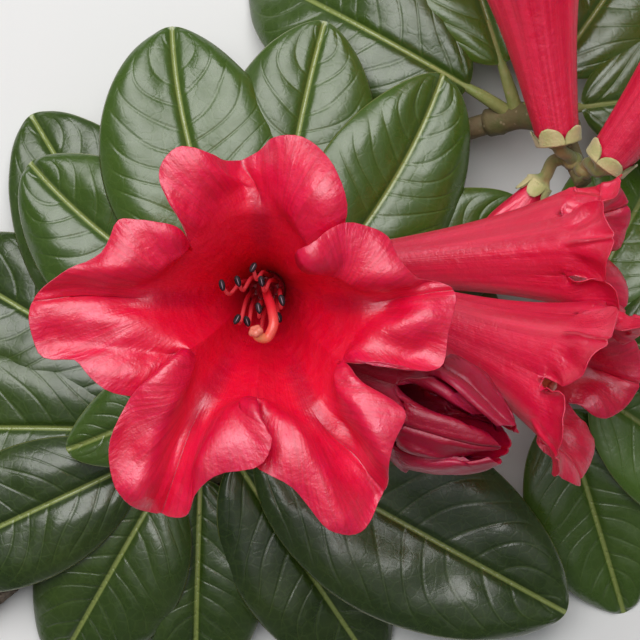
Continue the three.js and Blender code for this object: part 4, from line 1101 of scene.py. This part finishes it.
def leaf_paint():
    paint = Paint("living_leaf", IOR=1.5, Specular_IOR_Level=0.6, Coat_Weight=0.42, Coat_Roughness=0.24)
    u, v = paint.uv()
    beside, edge, front, tone = paint.numbers("beside", "edge", "front", "tone")
    # the side veins of leaf_phase()
    size = paint.math("ABSOLUTE", paint.math("MULTIPLY_ADD", v, 2.0, -1.0))
    slant = paint.math("SUBTRACT", u, paint.times(size, 0.12))
    slant = paint.math("SUBTRACT", slant, paint.times(paint.math("POWER", size, 2.2), 0.14))
    upper = paint.math("GREATER_THAN", v, 0.5)
    slow = paint.times(paint.math("SINE", paint.math("MULTIPLY_ADD", u, 9.7, 1.3)), 0.2)
    turn = paint.math("MULTIPLY_ADD", u, 23.0, paint.times(upper, 2.0))
    uneven = paint.math("MULTIPLY_ADD", paint.math("SINE", turn), 0.14, slow)
    phase = paint.math("MULTIPLY_ADD", slant, float(LEAF_VEINS), paint.times(upper, 0.35))
    phase = paint.math("FRACT", paint.math("ADD", paint.math("ADD", phase, uneven), 0.5))
    off = paint.math("ABSOLUTE", paint.math("SUBTRACT", phase, 0.5))
    faint = paint.ramp(edge, 0.4, 4.0)
    line = paint.times(paint.ramp(off, 0.05, 0.0), faint)
    net = paint.ramp(paint.cells(520.0, "DISTANCE_TO_EDGE"), 0.12, 0.0)
    cloud = paint.noise(75.0, 4.0)
    top = paint.coats(
        paint.blend(cloud, 0.3, 0.7, (0.01, 0.022, 0.003), (0.026, 0.044, 0.005)),
        (tone, (0.075, 0.15, 0.014)), (paint.times(line, 0.2), (0.12, 0.18, 0.035)),
        (paint.times(net, 0.1), (0.12, 0.2, 0.04)))
    colour = paint.coats(
        paint.blend(cloud, 0.3, 0.7, (0.13, 0.19, 0.075), (0.19, 0.25, 0.11)),
        (paint.times(line, 0.6), (0.28, 0.33, 0.14)), (front, top),
        (paint.ramp(beside, 0.55, 0.25), (0.22, 0.27, 0.07)),
        (paint.ramp(edge, 0.24, 0.05), (0.22, 0.25, 0.07)))
    gloss = paint.ramp(paint.noise(240.0, 3.0), 0.3, 0.75, 0.24, 0.4)
    roughness = paint.math("ADD", gloss, paint.times(paint.math("SUBTRACT", 1.0, front), 0.25))
    return paint.finish(colour, roughness, (paint.times(paint.ramp(off, 0.13, 0.0), faint), -0.08),
                        (net, -0.012), (paint.noise(900.0, 3.0), 0.05))


def stalk_paint():
    paint = Paint("flower_stalk", Sheen_Weight=0.25, Sheen_Roughness=0.5, IOR=1.45)
    calyx, = paint.numbers("calyx")
    cloud = paint.noise(260.0, 3.0)
    green = paint.blend(cloud, 0.35, 0.65, (0.2, 0.24, 0.07), (0.3, 0.2, 0.08))
    cream = paint.blend(cloud, 0.3, 0.7, (0.55, 0.47, 0.24), (0.4, 0.42, 0.16))
    return paint.finish(paint.mix(calyx, green, cream), paint.ramp(cloud, 0.2, 0.8, 0.5, 0.7),
                        (paint.noise(2200.0, 2.0), 0.12))


def twig_paint():
    paint = Paint("young_twig", IOR=1.45)
    green, = paint.numbers("green")
    cloud = paint.noise(180.0, 4.0)
    bark = paint.blend(cloud, 0.3, 0.7, (0.1, 0.12, 0.035), (0.21, 0.15, 0.075))
    fresh = paint.blend(cloud, 0.3, 0.7, (0.22, 0.27, 0.07), (0.33, 0.34, 0.12))
    speck = paint.times(paint.ramp(paint.cells(650.0, "F1"), 0.22, 0.1), 0.6)
    colour = paint.mix(speck, paint.mix(green, bark, fresh), (0.38, 0.31, 0.19))
    return paint.finish(colour, paint.ramp(cloud, 0.2, 0.8, 0.45, 0.7), (paint.noise(1400.0, 3.0), 0.16))


def bark_paint():
    paint = Paint("old_bark", IOR=1.45)
    fine = paint.noise(900.0, 4.0, 0.6)
    lichen = paint.times(paint.ramp(paint.noise(60.0, 3.0), 0.62, 0.7), 0.5)
    colour = paint.coats(
        paint.blend(paint.noise(110.0, 5.0, 0.6), 0.3, 0.7, (0.12, 0.082, 0.055), (0.27, 0.215, 0.165)),
        (paint.ramp(fine, 0.5, 0.3), (0.05, 0.033, 0.022)), (lichen, (0.33, 0.37, 0.27)))
    return paint.finish(colour, paint.ramp(fine, 0.2, 0.8, 0.75, 0.95), (fine, 0.5),
                        (paint.noise(300.0, 4.0), 0.5))


def cut_paint():
    paint = Paint("fresh_cut_wood", IOR=1.45)
    ring, = paint.numbers("ring")
    wobble = paint.times(paint.noise(500.0, 3.0), 0.12)
    year = paint.math("SINE", paint.times(paint.math("ADD", ring, wobble), 31.0))
    colour = paint.coats(
        paint.blend(year, -1.0, 1.0, (0.5, 0.4, 0.24), (0.66, 0.57, 0.38)),
        (paint.ramp(ring, 0.86, 0.9), (0.32, 0.3, 0.12)), (paint.ramp(ring, 0.94, 0.97), (0.12, 0.08, 0.05)),
        (paint.ramp(ring, 0.07, 0.03), (0.3, 0.21, 0.12)))
    return paint.finish(colour, 0.7, (paint.noise(2500.0, 3.0), 0.1))


def filament_paint():
    paint = Paint("filament", Subsurface_Weight=0.15, Subsurface_Radius=(1, 0.2, 0.15),
                  Subsurface_Scale=0.0006)
    up, = paint.numbers("up")
    colour = paint.blend(up, 0.5, 0.97, (0.55, 0.012, 0.03), (0.78, 0.09, 0.11))
    return paint.finish(colour, 0.38, (paint.noise(3000.0, 2.0), 0.04))


def anther_paint():
    paint = Paint("anther", IOR=1.4, Specular_IOR_Level=0.25)
    seam, = paint.numbers("seam")
    colour = paint.blend(paint.noise(1800.0, 2.0), 0.3, 0.7, (0.01, 0.004, 0.006), (0.03, 0.014, 0.02))
    colour = paint.blend(seam, 0.55, 0.9, colour, (0.36, 0.25, 0.3))
    return paint.finish(colour, 0.65, (paint.noise(5000.0, 2.0), 0.06))


def style_paint():
    paint = Paint("style", Subsurface_Weight=0.25, Subsurface_Radius=(1, 0.35, 0.2), Subsurface_Scale=0.001,
                  Coat_Weight=0.35, Coat_Roughness=0.15, IOR=1.45)
    up, = paint.numbers("up")
    colour = paint.blend(up, 0.76, 0.93, (0.7, 0.02, 0.04), (0.85, 0.12, 0.09))
    colour = paint.blend(up, 0.9, 0.99, colour, (0.92, 0.32, 0.14))
    colour = paint.blend(up, 1.05, 1.15, colour, (0.74, 0.2, 0.14))
    return paint.finish(colour, 0.3, (paint.noise(2600.0, 2.0), 0.04))


# ---- the pieces
PETALS = {
    "fresh": petal_paint("waxy_petal", gloss=0.95, body=(0.76, 0.0, 0.042), deep=(0.78, 0.0, 0.03),
                         tint=(0.8, 0.002, 0.06), back=(0.76, 0.018, 0.07), dark=(0.4, 0.0, 0.028)),
    # The fading bloom's deep colour, darker than its body, is painted shade inside its throat.
    "fading": petal_paint("fading_petal", gloss=0.5, body=(0.36, 0.0, 0.024), deep=(0.2, 0.0, 0.014),
                          tint=(0.42, 0.002, 0.04), back=(0.4, 0.01, 0.05), dark=(0.2, 0.0, 0.014)),
}
FILAMENT, ANTHER, STYLE = filament_paint(), anther_paint(), style_paint()
STALK, TWIG, BARK, CUT, LEAF = stalk_paint(), twig_paint(), bark_paint(), cut_paint(), leaf_paint()

for number, one in enumerate(BLOOMS):
    name, corolla, stall = one.name, one.corolla, stall_of(one.mouth, one.facing)
    dress(f"{name}_petals", PETALS[one.paint], "petal", f"{name}_corolla",
          (corolla_mesh, corolla, *one.grid, 40 + 10 * number, stall) if corolla
          else (bud_mesh, stall, 90 + number))
    dress(f"{name}_pedicel", STALK, "stalk", f"{name}_stalk", (stalk_mesh, one, stall, 200 + number))
    if one.anthers:
        dress(f"{name}_filaments", FILAMENT, "filament", f"{name}_stamens",
              (filaments_mesh, one.anthers, corolla, stall))
        dress(f"{name}_anthers", ANTHER, "filament", f"{name}_stamens", (anthers_mesh, one.anthers, stall))
        dress(f"{name}_style", STYLE, "style", f"{name}_pistil", (pistil_mesh, one.style, corolla, stall))

for number, (name, whorl) in enumerate(WHORLS.items()):
    leaves = list(enumerate(whorl["leaves"]))
    dress(f"{name}_leaves", LEAF, "leaf", f"{name}_whorl",
          *((leaf_blade, one, 100 * number + 7 * k + 3, whorl["tone"]) for k, one in leaves))
    dress(f"{name}_twigs", TWIG, "shoot", f"{name}_whorl", (limb_mesh, whorl["stem"], WHORL_STEM_RADII, 40),
          *((petiole_mesh, one, 300 + 20 * number + k) for k, one in leaves))

dress("woody_stem", BARK, "bark", "main_stem", (limb_mesh, *MAIN_STEM, STEM_SIDES, bark_relief, STEP, 0.0))
dress("cut_end", CUT, "bark", "main_stem", (cut_face, *MAIN_STEM))
for name, *limb in SHOOTS:
    dress(f"{name}_bark", TWIG, "shoot", name, (limb_mesh, *limb))
for name, rachis in (("front", FRONT_RACHIS), ("side", SIDE_RACHIS), ("right", RIGHT_RACHIS)):
    dress(f"{name}_truss_axis", TWIG, "shoot", f"{name}_rachis",
          (limb_mesh, [rachis.start, rachis.end], rachis.radius, 40, shoot_relief, 0.3, 0.35))


# ---- floor, light and camera, in metres
FLOOR_HALF = 3.0
SKY_COLOUR, SKY_STRENGTH = (0.86, 0.93, 1.0, 1), 0.12
LIGHT_TARGET = Vector((0, 0, 0.06))
LENS, SENSOR, CLIP = 150, 36, (0.01, 20)
CAMERA_ABOVE, CAMERA_HEIGHT = (8.7, -3.0, 0), 0.478

floor_mesh = bpy.data.meshes.new("floor")
floor_mesh.from_pydata([(x * FLOOR_HALF, y * FLOOR_HALF, 0) for x, y in ((-1, -1), (1, -1), (1, 1), (-1, 1))],
                       [], [(0, 1, 2, 3)])
floor = bpy.data.objects.new("floor", floor_mesh)
bpy.context.scene.collection.objects.link(floor)
floor.data.materials.append(Paint("pale_floor", Base_Color=(0.8, 0.8, 0.79, 1), Roughness=0.8).material)

world = bpy.data.worlds.new("soft_sky")
bpy.context.scene.world = world
world.use_nodes = True
world.node_tree.nodes["Background"].inputs["Color"].default_value = SKY_COLOUR
world.node_tree.nodes["Background"].inputs["Strength"].default_value = SKY_STRENGTH


def softbox(name, place, size, power, colour):
    """A round lamp at a place, turned to the part."""
    light = bpy.data.lights.new(name, "AREA")
    light.shape, light.size, light.energy, light.color = "DISK", size, power, colour
    lamp = bpy.data.objects.new(name, light)
    lamp.location = place
    lamp.rotation_euler = (LIGHT_TARGET - Vector(place)).to_track_quat("-Z", "Y").to_euler()
    bpy.context.scene.collection.objects.link(lamp)


softbox("key", (-0.13, 0.38, 0.86), 0.95, 10.0, (1.0, 0.99, 0.98))
softbox("overhead", (0.05, 0.0, 1.0), 1.6, 1.6, (0.97, 0.98, 1.0))

lens = bpy.data.cameras.new("camera")
lens.lens, lens.sensor_width, (lens.clip_start, lens.clip_end) = LENS, SENSOR, CLIP
camera = bpy.data.objects.new("camera", lens)
camera.location = (*((ORIGIN + CAMERA_ABOVE) * MM)[:2], CAMERA_HEIGHT)
bpy.context.scene.collection.objects.link(camera)
bpy.context.scene.camera = camera
bpy.context.scene.view_settings.view_transform = "Standard"
